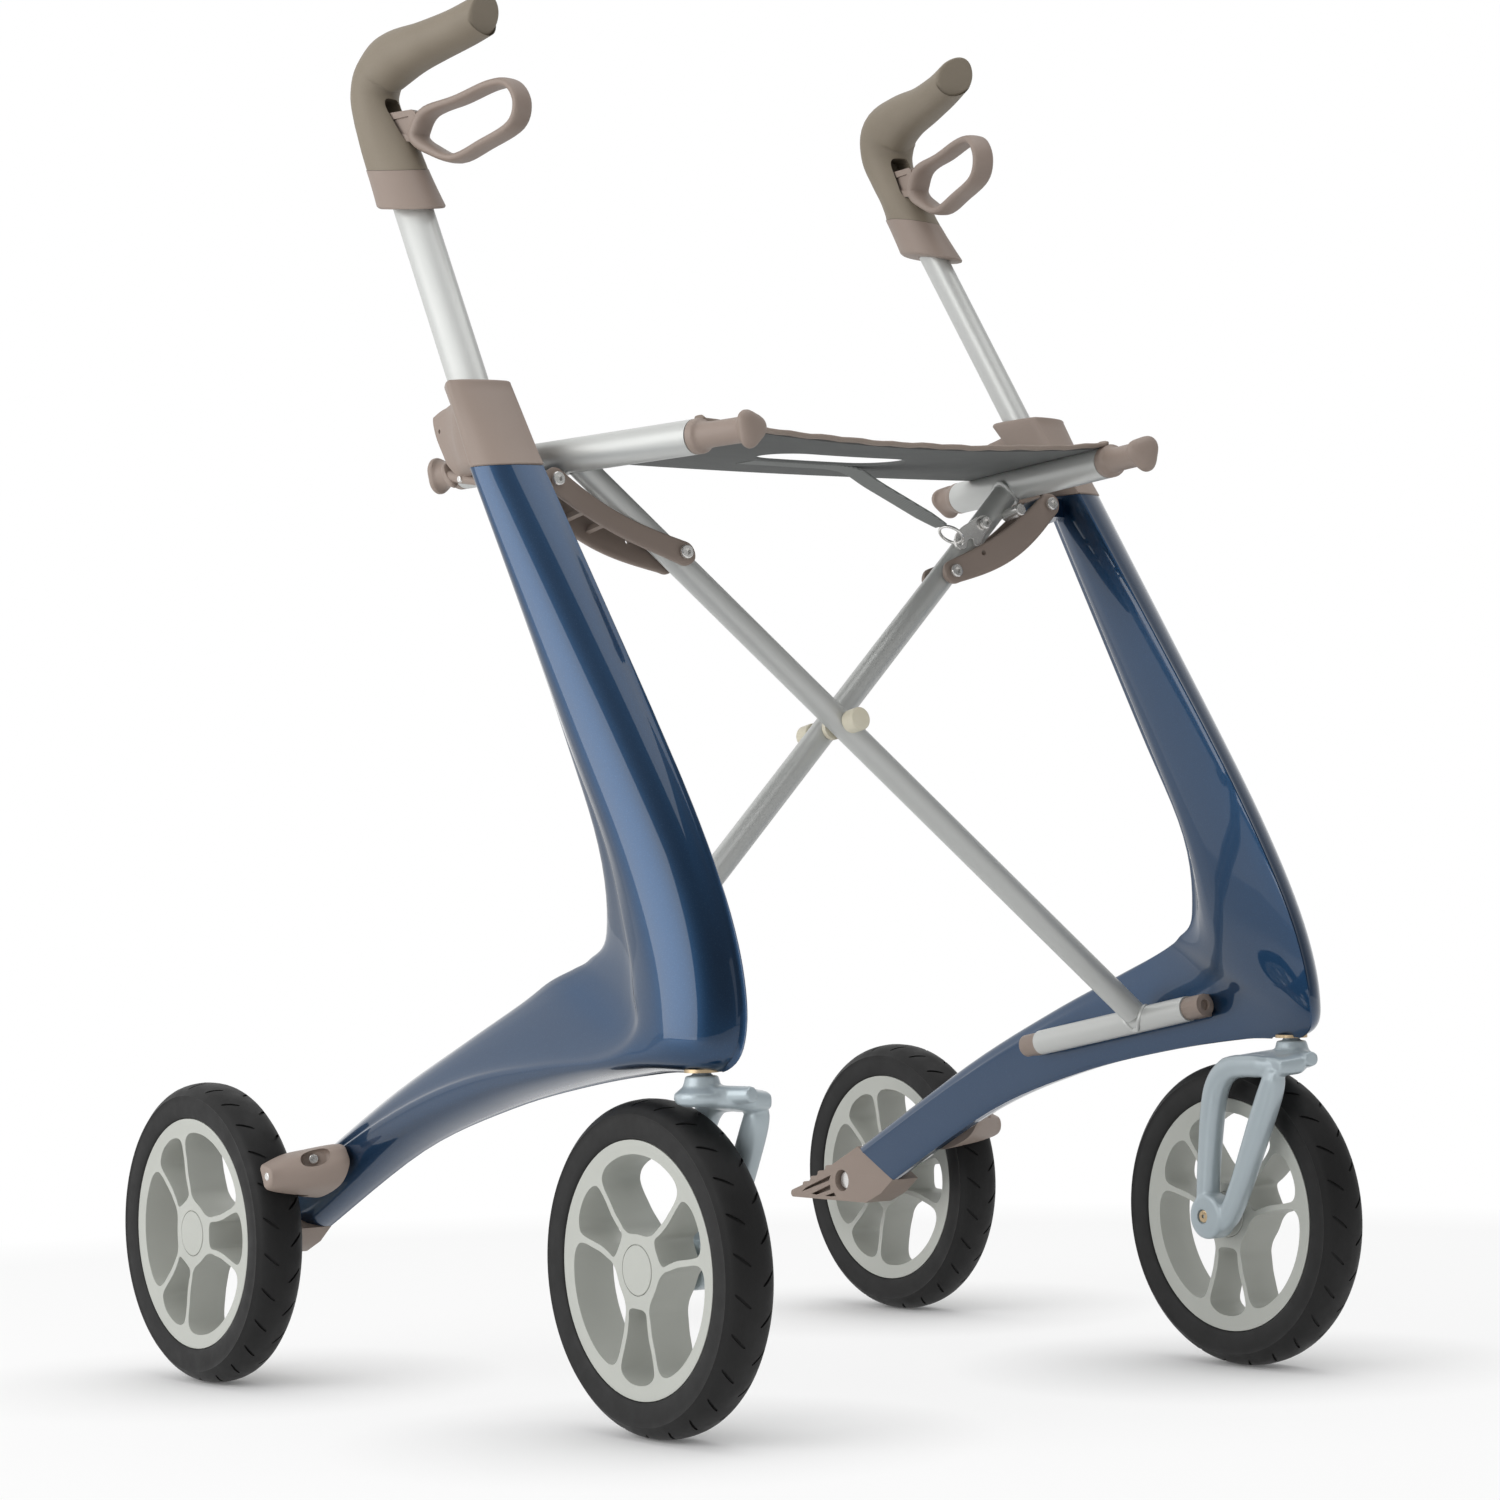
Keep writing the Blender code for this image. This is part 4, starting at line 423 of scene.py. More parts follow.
def bar(name, start, end, radius, sides=48, end_radius=None):
    """A round bar between two points, from the cone primitive."""
    way = Vector(end) - Vector(start)
    bpy.ops.mesh.primitive_cone_add(
        vertices=sides, radius1=radius, radius2=end_radius or radius, depth=way.length,
        location=(Vector(start) + Vector(end)) / 2, rotation=way.to_track_quat("Z", "Y").to_euler())
    obj = bpy.context.active_object
    obj.name = name
    return tidy(obj)


def plate(name, outline, thickness, place, holes=()):
    """A flat outline of (u, v) points with any holes, given its thickness about its plane."""
    curve = bpy.data.curves.new(name, "CURVE")
    curve.dimensions = "2D"
    curve.fill_mode = "BOTH"
    curve.extrude = thickness / 2
    for points in (outline, *holes):
        spline = curve.splines.new("POLY")
        spline.points.add(len(points) - 1)
        for point, (u, v) in zip(spline.points, points):
            point.co = (u, v, 0.0, 1.0)
        spline.use_cyclic_u = True
    obj = bpy.data.objects.new(name, curve)
    bpy.context.scene.collection.objects.link(obj)
    obj.matrix_world = place
    choose(obj)
    bpy.ops.object.convert(target="MESH")
    return tidy(bpy.context.active_object)


def side_plane(x):
    """A plate's plane seen from the side: u along +Y and v along +Z, at the given x."""
    return Matrix(((0, 0, 1, x), (1, 0, 0, 0), (0, 1, 0, 0), (0, 0, 0, 1)))


def fold_plane(s):
    """A plate's plane in the scissor's plane, at s along its axis."""
    matrix = Matrix((ACROSS, FOLD_UP, ACROSS.cross(FOLD_UP))).transposed().to_4x4()
    matrix.translation = fold_point(0.0, 0.0, s)
    return matrix


def arc(centre, radius, start, end, count):
    """Points of an arc between two angles in degrees."""
    return [(centre[0] + radius * math.cos(math.radians(start + (end - start) * k / count)),
             centre[1] + radius * math.sin(math.radians(start + (end - start) * k / count)))
            for k in range(count + 1)]


STEM = Vector((FRONT_WHEEL_X, -0.2682, 0.0))
BOSS_BOTTOM = 0.217
shell = boolean(shell, bar("recess", STEM + UPWARD * 0.19, STEM + UPWARD * BOSS_BOTTOM, 0.0143))
LUG_X, LUG_W, LUG_HALF = 0.2037, 0.1558, 0.0092
lug = bar("lug", fold_point(LUG_X, LUG_W, -LUG_HALF), fold_point(LUG_X, LUG_W, LUG_HALF), 0.0075)
web = plate("web", [(LUG_X, LUG_W - 0.0075), (SHELL_INNER + 0.001, LUG_W - 0.0075),
                    (SHELL_INNER + 0.001, LUG_W + 0.0055), (LUG_X, LUG_W + 0.0055)],
            2 * LUG_HALF, fold_plane(0.0))
shell = join(shell, bevel(boolean(lug, web, "UNION"), 0.0008))

navy = Finish("navy_paint", Metallic=1.0, Coat_Weight=1.0, Coat_Roughness=0.03)
flake = navy.speckle(0.0006, 1.0)
cloud = navy.speckle(0.09, 3.0)
deep = navy.between(cloud, (0.011, 0.042, 0.1), (0.015, 0.054, 0.124))
navy.dress(navy.range(flake, 0.55, 0.8, 0.0, 0.3), deep, (0.05, 0.115, 0.23), cloud, 0.38, 0.46, (0.0, 1.0))
wear_pair(shell, navy, "frame", "frame_shell")


# Collar: the head of each upright, moulded in taupe plastic and pushed into the shell. The post slides
# in it, and a lever behind it, turned by hand about a steel pin, clamps the post at its height.
taupe = Finish("taupe_plastic")
grain = taupe.speckle(0.0009, 3.0)
taupe.dress(taupe.speckle(0.05), (0.262, 0.205, 0.172), (0.292, 0.232, 0.197), grain, 0.46, 0.58)
taupe.relief(grain, 0.00006, 0.5)

steel = Finish("bright_steel", Metallic=0.8)
brushed = steel.speckle(0.008)
steel.dress(brushed, (0.76, 0.75, 0.73), (0.84, 0.83, 0.81), brushed, 0.2, 0.26)

COLLAR_TOP, COLLAR_INNER = 0.646, 0.215
POST_LOW, POST_HIGH = Vector((0.2279, -0.0178, 0.6488)), Vector((0.2196, 0.058, 0.7715))
POST_TURN = math.radians(25)
post_up = (POST_HIGH - POST_LOW).normalized()
post_long = squared(Vector((math.sin(POST_TURN), math.cos(POST_TURN), 0.0)), post_up)
post_short = post_up.cross(post_long)


def oval(centre, long_axis, long_half, short_axis, short_half, count=48, power=2.0):
    """A ring of points on an oval. A power above 2 flattens its sides."""
    points = []
    for k in range(count):
        angle = 2 * math.pi * k / count
        c, s = math.cos(angle), math.sin(angle)
        points.append(centre + long_axis * (long_half * math.copysign(abs(c) ** (2 / power), c))
                      + short_axis * (short_half * math.copysign(abs(s) ** (2 / power), s)))
    return points


def post_ring(centre, long_half, short_half, count=48, power=2.0):
    """An oval that is turned as the post is."""
    return oval(centre, post_long, long_half, post_short, short_half, count, power)


def section_loft(name, sections, steps):
    """A skin through outlines of (y, z) points, each at its x, smooth along and across."""
    flat = [[x] + [value for point in outline for value in point] for x, outline in sections]
    return loft(name, [[Vector((x, y, z)) for y, z in around(list(zip(row[::2], row[1::2])), 5)]
                       for x, *row in through(flat, steps)])


def collar_ring(share, rise=0.0, shrink=0.0):
    """The collar's section between its foot, at share 0, and its top, at share 1."""
    foot = (-0.0918, -0.043, SHELL_INNER, SHELL_OUTER, 0.03, 0.68, 0.25, 0.03, 0.0106, 0.79)
    top = (-0.0517, -0.0022, COLLAR_INNER, SHELL_OUTER - 0.001, 0.017, 0.64, 0.02, 0.025, 0.016, 0.78)
    front, rear, *rest = [a + (b - a) * share for a, b in zip(foot, top)]
    height = 0.5883 + (COLLAR_TOP - 0.0023 - 0.5883) * share + rise
    return shell_ring((front, height, rear, height, *rest), shrink)


collar_rings = [collar_ring(0.0, 0.0, 0.0006), collar_ring(0.0, 0.001)]
collar_rings += [collar_ring(share) for share in (0.15, 0.3, 0.45, 0.6, 0.75, 0.9, 1.0)]
collar_rings += [collar_ring(1.0, rise, shrink)
                 for rise, shrink in ((0.0012, 0.0003), (0.0019, 0.0009), (0.0023, 0.0018))]
collar = loft("collar_body", collar_rings)
collar = boolean(collar, loft("post_way", [
    post_ring(POST_LOW + post_up * h, a, b)
    for h, a, b in ((-0.0672, 0.0105, 0.007), (-0.055, 0.0138, 0.009), (0.02, 0.0138, 0.009))]))

ear_sections = [
    (0.2262, [(-0.03, 0.637), (0.0043, 0.6345), (0.0185, 0.6305), (0.021, 0.6275), (0.0178, 0.6169),
              (0.0103, 0.605), (0.0035, 0.5965), (-0.0096, 0.5895), (-0.04, 0.5895), (-0.048, 0.6)]),
    (0.2298, [(-0.03, 0.637), (0.0043, 0.6345), (0.019, 0.631), (0.0219, 0.628), (0.0185, 0.6169),
              (0.011, 0.605), (0.004, 0.596), (-0.0096, 0.5892), (-0.04, 0.5892), (-0.048, 0.6)]),
    (0.2303, [(-0.03, 0.637), (0.0035, 0.634), (0.0175, 0.63), (0.0205, 0.627), (0.0172, 0.6169),
              (0.0098, 0.6055), (0.003, 0.597), (-0.01, 0.5898), (-0.04, 0.5895), (-0.048, 0.6)]),
    (0.2325, [(-0.03, 0.637), (-0.004, 0.6352), (0.002, 0.632), (0.004, 0.627), (0.003, 0.617),
              (-0.001, 0.607), (-0.006, 0.5985), (-0.015, 0.5905), (-0.04, 0.5895), (-0.048, 0.6)]),
    (0.237, [(-0.032, 0.6365), (-0.015, 0.635), (-0.011, 0.631), (-0.0095, 0.626), (-0.01, 0.617),
              (-0.013, 0.608), (-0.0165, 0.6), (-0.023, 0.592), (-0.04, 0.5905), (-0.048, 0.6)]),
    (0.2415, [(-0.034, 0.635), (-0.024, 0.633), (-0.0215, 0.629), (-0.0205, 0.624), (-0.021, 0.616),
              (-0.023, 0.608), (-0.0265, 0.601), (-0.032, 0.594), (-0.042, 0.5925), (-0.048, 0.6)]),
    (0.2435, [(-0.034, 0.633), (-0.032, 0.631), (-0.031, 0.627), (-0.031, 0.623), (-0.032, 0.616),
              (-0.034, 0.608), (-0.037, 0.601), (-0.041, 0.595), (-0.045, 0.594), (-0.048, 0.6)]),
]
pin_y, pin_z = Vector((0.0133, 0.6198))
clamp_ear = section_loft("clamp_ear", ear_sections, 3)
clamp_ear = boolean(clamp_ear, bar("pin_hole", (0.22, pin_y, pin_z), (0.24, pin_y, pin_z), 0.0015, 20))
clamp_ear = boolean(clamp_ear, loft("post_way", [post_ring(POST_LOW + post_up * h, 0.014, 0.0092)
                                                 for h in (-0.08, 0.02)]))
wear_pair(join(collar, clamp_ear), taupe, "frame", "collar")

lever_arm = bevel(plate("lever_arm", arc((pin_y, pin_z), 0.005, -10, 170, 10)
                        + arc((0.006, 0.5915), 0.004, 170, 350, 10), 0.0056, side_plane(0.2229)), 0.0006)
lean, face = Vector((0.0, -0.6, -0.8)), Vector((0.0, 0.8, -0.6))
tab = loft("thumb_tab", [
    oval(Vector((0.2275, 0.0072, 0.591)) + face * depth, lean, 0.01 * share, ACROSS, 0.0048 * share, 40)
    for depth, share in ((-0.0022, 0.6), (-0.0019, 0.85), (-0.001, 0.97), (0.0, 1.0),
                         (0.001, 0.97), (0.0019, 0.85), (0.0022, 0.6))])
stem = bar("stem", (0.2275, 0.0065, 0.5905), (0.2275, -0.029, 0.5835), 0.0036, 32, 0.0026)
wear_pair(join(lever_arm, tab, stem), taupe, "clamp_lever", "clamp_lever")
wear_pair(bevel(bar("tab_screw", (0.2295, -0.0099, 0.587), (0.2318, -0.0099, 0.587), 0.0021, 20), 0.0004),
          steel, "clamp_lever")
wear_pair(bevel(bar("pivot_pin", (0.2196, pin_y, pin_z), (0.2297, pin_y, pin_z), 0.0014, 20), 0.0003),
          steel, "frame", "clamp_pin")


# Wheels: soft black tyres of 200 mm, pressed on stone-grey moulded rims. A rim has a hub with a flush
# cap and three pairs of thin spokes as deep as itself, and a tyre has two rows of short slanted sipes.
rubber = Finish("tyre_rubber", Specular_IOR_Level=0.32)
dust = rubber.speckle(0.012, 5.0)
rubber.dress(dust, (0.006, 0.006, 0.0064), (0.012, 0.0118, 0.0116), dust, 0.5, 0.66)
rubber.relief(rubber.speckle(0.0007), 0.00005, 0.5)

stone = Finish("grey_plastic")
mould = stone.speckle(0.0012, 3.0)
stone.dress(stone.speckle(0.04), (0.44, 0.452, 0.416), (0.482, 0.494, 0.457), mould, 0.42, 0.54)
stone.relief(mould, 0.00005, 0.4)


def spun(name, profile, steps, closed):
    """A profile of (radius, x) points spun about the X axis by the spin operator."""
    points = [(x, radius, 0.0) for radius, x in profile]
    edges = [(i, i + 1) for i in range(len(points) - 1)]
    if closed:
        edges.append((len(points) - 1, 0))
    obj = new_object(name, points, edges, [])
    choose(obj)
    bpy.ops.object.mode_set(mode="EDIT")
    bpy.ops.mesh.select_all(action="SELECT")
    bpy.ops.mesh.spin(steps=steps, angle=2 * math.pi, center=(0, 0, 0), axis=(1, 0, 0))
    bpy.ops.object.mode_set(mode="OBJECT")
    return tidy(obj)


half_tyre = through([(0.0768, 0.0146), (0.0785, 0.016), (0.085, 0.0168), (0.0905, 0.0166), (0.0918, 0.0171),
                     (0.093, 0.016), (0.0958, 0.0136), (0.0982, 0.0098), (0.0995, 0.0052), (0.1, 0.0)], 2)
tyre_profile = half_tyre + [(r, -x) for r, x in reversed(half_tyre[:-1])]
tyre = spun("tyre", tyre_profile, 120, True)
SIPES, SIPE_SLANT, SIPE_TILT = 26, math.radians(40), 0.42
sipe = loft("sipe", [oval(UPWARD * height, ACROSS, 0.0066, REARWARD, 0.0009, 12, 3.0)
                     for height in (-0.002, 0.002)])
sipes = []
for side in (1, -1):
    for k in range(SIPES):
        turn = 2 * math.pi * (k + (0.5 if side < 0 else 0.0)) / SIPES
        sipes.append(copied(sipe, "sipe", (
            Matrix.Rotation(turn, 4, "X") @ Matrix.Translation((0.0092 * side, 0.0, 0.0987))
            @ Matrix.Rotation(SIPE_TILT * side, 4, "Y") @ Matrix.Rotation(SIPE_SLANT * side, 4, "Z"))))
bpy.data.objects.remove(sipe, do_unlink=True)
tyre = boolean(tyre, join(*sipes))

SPOKE_HALF = 0.0019


def spoke_angle(radius):
    """Half the angle between the two spokes of a pair: they leave the hub almost parallel."""
    return 18.5 + 9.5 * max(0.0, min(1.0, (0.036 - radius) / 0.019))


def pocket(kind, middle, shrink):
    """The outline of the opening between two pairs, or between the spokes of a pair."""
    sides = []
    for radius in (0.056, 0.048, 0.04, 0.032, 0.0262):
        half_spoke = math.degrees(math.asin(SPOKE_HALF / radius))
        sides.append((radius, 60.0 - (spoke_angle(radius) + half_spoke) if kind == "wide"
                      else spoke_angle(radius) - half_spoke))
    if kind == "wide":
        outside = [(0.0618, 38.6), (0.0652, 35.6), (0.067, 30.5), (0.0678, 20.0), (0.068, 10.0),
                   (0.068, 0.0)]
        inside = [(0.0222, 21.0), (0.0212, 0.0)]
    else:
        outside = [(0.0622, 15.9), (0.0655, 12.6), (0.0674, 7.0), (0.0679, 0.0)]
        inside = [(0.0235, 12.0), (0.0228, 0.0)]
    half = outside[::-1] + sides + inside
    outline = half + [(radius, -angle) for radius, angle in reversed(half[1:-1])]
    points = []
    for radius, angle in around(outline, 3):
        turn = math.radians(middle + angle)
        points.append(((radius - shrink) * math.cos(turn), (radius - shrink) * math.sin(turn)))
    return points


def make_rim(name, first_pair):
    """A rim about the X axis, its first pair of spokes at this angle in degrees."""
    half = 0.015
    edge = [(0.0, half), (0.0144, half), (0.0147, 0.0147), (0.0148, 0.0138), (0.0152, 0.0138),
            (0.0153, 0.0147), (0.0195, 0.0146), (0.03, 0.0138), (0.05, 0.0134), (0.066, 0.0138),
            (0.072, 0.0145), (0.0752, half + 0.0002), (0.0765, half)]
    profile = edge + [(radius, -min(x, half)) for radius, x in reversed(edge)]
    rim = spun(name, profile, 96, False)
    for pair in range(3):
        for kind, turn in (("wide", 60.0), ("narrow", 0.0)):
            middle = first_pair + 120 * pair + turn
            rings = []
            for x, shrink in ((0.02, 0.0), (0.004, 0.0002), (-0.02, 0.001)):
                rings.append([Vector((x, y, z)) for y, z in pocket(kind, middle, shrink)])
            rim = boolean(rim, loft("opening", rings))
    return bevel(rim, 0.0007, 2, 40)


for end, x, y, first_pair in (("front", FRONT_WHEEL_X, -AXLE_Y, 33), ("rear", REAR_WHEEL_X, AXLE_Y, 60)):
    rim = make_rim("rim", first_pair)
    for side, sign in (("left", 1), ("right", -1)):
        place = Matrix.Translation((sign * x, y, WHEEL_RADIUS)) @ Matrix.Diagonal((sign, 1.0, 1.0, 1.0))
        body = f"{end}_wheel_{side}"
        wear(copied(rim, f"spoked_rim_{end}_{side}", place), stone, body, f"{end}_rim_{side}")
        wear(copied(tyre, f"soft_tyre_{end}_{side}", place), rubber, body, f"{end}_tyre_{side}")
    bpy.data.objects.remove(rim, do_unlink=True)
bpy.data.objects.remove(tyre, do_unlink=True)


# Caster forks: bent and welded round bar with a forged crown, lacquered pale blue-grey. A brass
# bush carries the stem in the frame, and a brass screw the wheel.
ice = Finish("fork_paint", Metallic=0.25, Coat_Weight=0.35, Coat_Roughness=0.15)
peel = ice.speckle(0.0016)
ice.dress(ice.speckle(0.03), (0.375, 0.44, 0.475), (0.435, 0.5, 0.53), peel, 0.3, 0.42)
ice.relief(peel, 0.00008, 0.4)
brass = Finish("brass_finish", Metallic=1.0)
worn = brass.speckle(0.003, 4.0)
brass.dress(worn, (0.5, 0.37, 0.22), (0.66, 0.52, 0.34), worn, 0.26, 0.42)

HUB_X = 0.207
FORK_BARS = (
    ("fork_rear_leg", [(-0.216, 0.104, 0.0066), (-0.2172, 0.121, 0.0071), (-0.22, 0.145, 0.0076),
                       (-0.2232, 0.167, 0.0083), (-0.2268, 0.1815, 0.0084), (-0.233, 0.1915, 0.008),
                       (-0.2425, 0.1975, 0.0074), (-0.256, 0.1992, 0.007), (-0.27, 0.1992, 0.0068),
                       (-0.283, 0.1988, 0.004)]),
    ("fork_front_leg", [(-0.23, 0.096, 0.0064), (-0.2372, 0.102, 0.0068), (-0.2484, 0.121, 0.0072),
                        (-0.26, 0.145, 0.0079), (-0.271, 0.168, 0.0086), (-0.2795, 0.186, 0.008),
                        (-0.283, 0.197, 0.005)]))
legs = []
for name, line in FORK_BARS:
    line = through(line, 5)
    leg_rings = []
    for i, (y, z, half) in enumerate(line):
        before, after = line[max(i - 1, 0)], line[min(i + 1, len(line) - 1)]
        outwards = Vector((0.0, after[1] - before[1], before[0] - after[0])).normalized()
        leg_rings.append(oval(Vector((HUB_X, y, z)), ACROSS, min(0.0068, half), outwards, half + 0.0004,
                              28, 2.6))
    legs.append(loft(name, leg_rings))
shoulder_rings = []
for x, y, z, wide, high in ((0.2035, -0.263, 0.199, 0.029, 0.0064), (0.211, -0.266, 0.1996, 0.029, 0.0068),
                            (0.219, -0.27, 0.2006, 0.0275, 0.0072), (0.229, -0.27, 0.202, 0.02, 0.0072),
                            (0.238, -0.269, 0.203, 0.014, 0.0066)):
    shoulder_rings.append(oval(Vector((x, y, z)), REARWARD, wide, UPWARD, high, 40, 4.0))
shoulder = loft("fork_shoulder", shoulder_rings)
horn = bar("fork_horn", (0.229, -0.28, 0.2032), (0.2235, -0.3, 0.204), 0.0058, 32, 0.0048)
fork = spun("fork", [(0.0, 0.254), (0.0052, 0.254), (0.0052, 0.2148), (0.0094, 0.2148), (0.0098, 0.214),
                     (0.0112, 0.2085), (0.014, 0.2062), (0.0163, 0.2045), (0.0167, 0.2015), (0.015, 0.1985),
                     (0.011, 0.1969), (0.0, 0.1968)], 48, False)
fork.data.transform(Matrix.Translation(STEM) @ Matrix.Rotation(-math.pi / 2, 4, "Y"))
hub_boss = bevel(bar("hub_boss", (0.1992, -0.2208, 0.1), (0.2152, -0.2208, 0.1), 0.0148), 0.0022, 3)
fork = join(fork, *legs, shoulder, horn, hub_boss)
remesh = fork.modifiers.new("weld", "REMESH")
remesh.mode = "VOXEL"
remesh.voxel_size = 0.0009
even = fork.modifiers.new("fillet", "SMOOTH")
even.factor = 0.5
even.iterations = 9
fork = tidy(fork, 180)
fork = boolean(fork, bar("bolt_seat", (0.196, -AXLE_Y, WHEEL_RADIUS), (0.201, -AXLE_Y, WHEEL_RADIUS),
                         0.0048, 32))
wear_pair(fork, ice, "caster", "fork")

bush = spun("stem_bush", [(0.0086, -0.0004), (0.0104, -0.0004), (0.0104, -0.0024), (0.0086, -0.0024)],
            48, True)
bush.data.transform(Matrix.Translation(STEM + UPWARD * (BOSS_BOTTOM - 0.0008))
                    @ Matrix.Rotation(math.pi / 2, 4, "Y"))
wear_pair(bush, brass, "frame", "stem_bearing")
bolt_face = HUB_X - 0.007
front_bolt = bar("wheel_bolt", (bolt_face, -AXLE_Y, WHEEL_RADIUS), (0.2165, -AXLE_Y, WHEEL_RADIUS),
                 0.0042, 32)
star = []
for k in range(12):
    reach = 0.0017 if k % 2 else 0.0011
    star.append((reach * math.cos(math.radians(30 * k)) - AXLE_Y,
                 reach * math.sin(math.radians(30 * k)) + WHEEL_RADIUS))
star_socket = plate("star_socket", around(star, 2), 0.003, side_plane(bolt_face))
front_bolt = boolean(bevel(front_bolt, 0.0006), star_socket)
wear_pair(front_bolt, brass, "caster", "front_axle")
coat(steel, "rear_axle_left", "rear_axle_right")


# End caps: each arm's moulded end with its ribbed tipping pedal, fanned pockets and the counterbore
# of the axle bolt.
CAP_INNER, CAP_OUTER = 0.2387, 0.2632
cap_start = (0.1985, 0.1265)
slope = math.atan2(0.0885 - cap_start[1], 0.279 - cap_start[0])
cap_teeth = []
for k in range(4):
    for along, rise in ((0.036, 0.0), (0.0415, 0.002), (0.0435, 0.0022), (0.0448, 0.0006)):
        reach = along + 0.0105 * k
        cap_teeth.append((cap_start[0] + reach * math.cos(slope) - rise * math.sin(slope),
                          cap_start[1] + reach * math.sin(slope) + rise * math.cos(slope)))
cap_outline = ([(0.1572, 0.1035), cap_start] + cap_teeth + arc((0.28, 0.0875), 0.0028, 60, -90, 8)
               + [(0.1905, 0.0847), (0.172, 0.0925)])
cap = plate("foot_cap", cap_outline, CAP_OUTER - CAP_INNER, side_plane((CAP_INNER + CAP_OUTER) / 2))
end_along = Vector((0.0, 0.0413, 0.023)).normalized()
end_out = Vector((0.0, end_along.z, -end_along.y))
end_start = Vector((0.0, 0.1572, 0.1035))
cap = boolean(cap, loft("arm_room", [
    [end_start + end_along * v + end_out * distance + ACROSS * u
     for u, v in ((0.2, -0.02), (0.3, -0.02), (0.3, 0.07), (0.2, 0.07))] for distance in (-0.03, 0.0003)]))
cap = boolean(cap, bar("counterbore", (CAP_INNER - 0.01, AXLE_Y, WHEEL_RADIUS),
                       (CAP_INNER + 0.01, AXLE_Y, WHEEL_RADIUS), 0.0082))
for outline in ([(0.2325, 0.1035), (0.2345, 0.0992), (0.269, 0.0892), (0.264, 0.0925)],
                [(0.2335, 0.0962), (0.233, 0.0925), (0.251, 0.0875), (0.257, 0.0882)],
                [(0.229, 0.0905), (0.2265, 0.088), (0.233, 0.0872), (0.24, 0.0874)]):
    cap = boolean(cap, plate("pocket", outline, 0.012, side_plane(CAP_INNER)))
wear_pair(bevel(cap, 0.0008, 2, 40), taupe, "frame", "end_cap")


# Brake arms: moulded blocks on the outside of the arms. Each turns on a screw in its oval pocket and
# presses its end against the tread.
BRAKE_IN, BRAKE_OUT = 0.2645, 0.3085
brake_sections = [
    (BRAKE_IN, [(0.14, 0.156), (0.1, 0.1618), (0.0895, 0.1555), (0.0885, 0.1475),
                (0.1, 0.1352), (0.127, 0.1258), (0.142, 0.129), (0.145, 0.148)]),
    (BRAKE_IN + 0.005, [(0.1395, 0.156), (0.1005, 0.1613), (0.0905, 0.1553), (0.0893, 0.1475),
                         (0.1005, 0.1355), (0.127, 0.1262), (0.1415, 0.13), (0.1445, 0.148)]),
    (BRAKE_IN + 0.024, [(0.134, 0.1548), (0.11, 0.1555), (0.103, 0.151), (0.101, 0.144),
                         (0.1075, 0.1345), (0.123, 0.129), (0.135, 0.13), (0.137, 0.145)]),
    (BRAKE_OUT - 0.0045, [(0.13, 0.1502), (0.1195, 0.15), (0.113, 0.1475), (0.1112, 0.1425),
                          (0.113, 0.1365), (0.119, 0.133), (0.13, 0.1335), (0.132, 0.142)]),
    (BRAKE_OUT - 0.001, [(0.128, 0.1487), (0.1195, 0.1487), (0.1145, 0.1465), (0.113, 0.142),
                          (0.1145, 0.1372), (0.1195, 0.1348), (0.128, 0.1348), (0.1295, 0.142)]),
    (BRAKE_OUT, [(0.1265, 0.1465), (0.12, 0.1465), (0.1165, 0.145), (0.1155, 0.1418),
                 (0.1165, 0.1385), (0.12, 0.1368), (0.1265, 0.1368), (0.1275, 0.1418)]),
]
brake = section_loft("brake_block", brake_sections, [2, 5, 5, 2, 2])
brake = boolean(brake, bar("tread", (0.2764, AXLE_Y, WHEEL_RADIUS), (0.33, AXLE_Y, WHEEL_RADIUS),
                           WHEEL_RADIUS + 0.003, 128))
slant_out = Vector((0.56, -0.8, 0.22)).normalized()
slant_long = squared(Vector((-0.02, 0.35, -0.1)), slant_out)
slant_up = slant_out.cross(slant_long).normalized()
recess_middle = Vector((0.2805, 0.1035, 0.1538))
recess_rings = []
for depth, wide, high in ((-0.006, 0.0068, 0.0042), (-0.0045, 0.009, 0.0056), (0.008, 0.0102, 0.0066)):
    recess_rings.append(oval(recess_middle + slant_out * depth, slant_long, wide, slant_up, high, 40, 2.4))
brake = bevel(boolean(brake, loft("recess", recess_rings)), 0.0008, 2, 40)
wear_pair(brake, taupe, "brake_arm", "brake_arm")
recess_floor = recess_middle - slant_out * 0.0058 + slant_long * 0.0018
pocket_screw = bevel(bar("pocket_screw", recess_floor - slant_out * 0.0006,
                         recess_floor + slant_out * 0.0016, 0.0031, 28), 0.0005)
hexagon = bar("pocket_socket", recess_floor + slant_out * 0.0006, recess_floor + slant_out * 0.003, 0.0015, 6)
wear_pair(boolean(pocket_screw, hexagon), steel, "brake_arm")
tip_screw = bevel(bar("tip_screw", (BRAKE_OUT - 0.003, 0.1184, 0.1425),
                      (BRAKE_OUT + 0.0004, 0.1184, 0.1425), 0.0027, 28), 0.0005)
wear_pair(tip_screw, steel, "brake_arm")


# Handles: an anodised oval tube that slides in the collar, a taupe socket on it and a soft olive
# grip that rises, turns over its palm rest and runs forward to a slanted tip.
silver = Finish("silver_aluminium", Metallic=0.35)
silver.dress(silver.speckle(0.06), (0.53, 0.54, 0.525), (0.57, 0.58, 0.565),
             silver.speckle(0.09, 1.0), 0.37, 0.4)
olive = Finish("olive_rubber")
skin = olive.speckle(0.0011, 4.0)
olive.dress(olive.speckle(0.03), (0.205, 0.172, 0.128), (0.236, 0.2, 0.152), skin, 0.52, 0.66)
olive.relief(skin, 0.00008, 0.5)

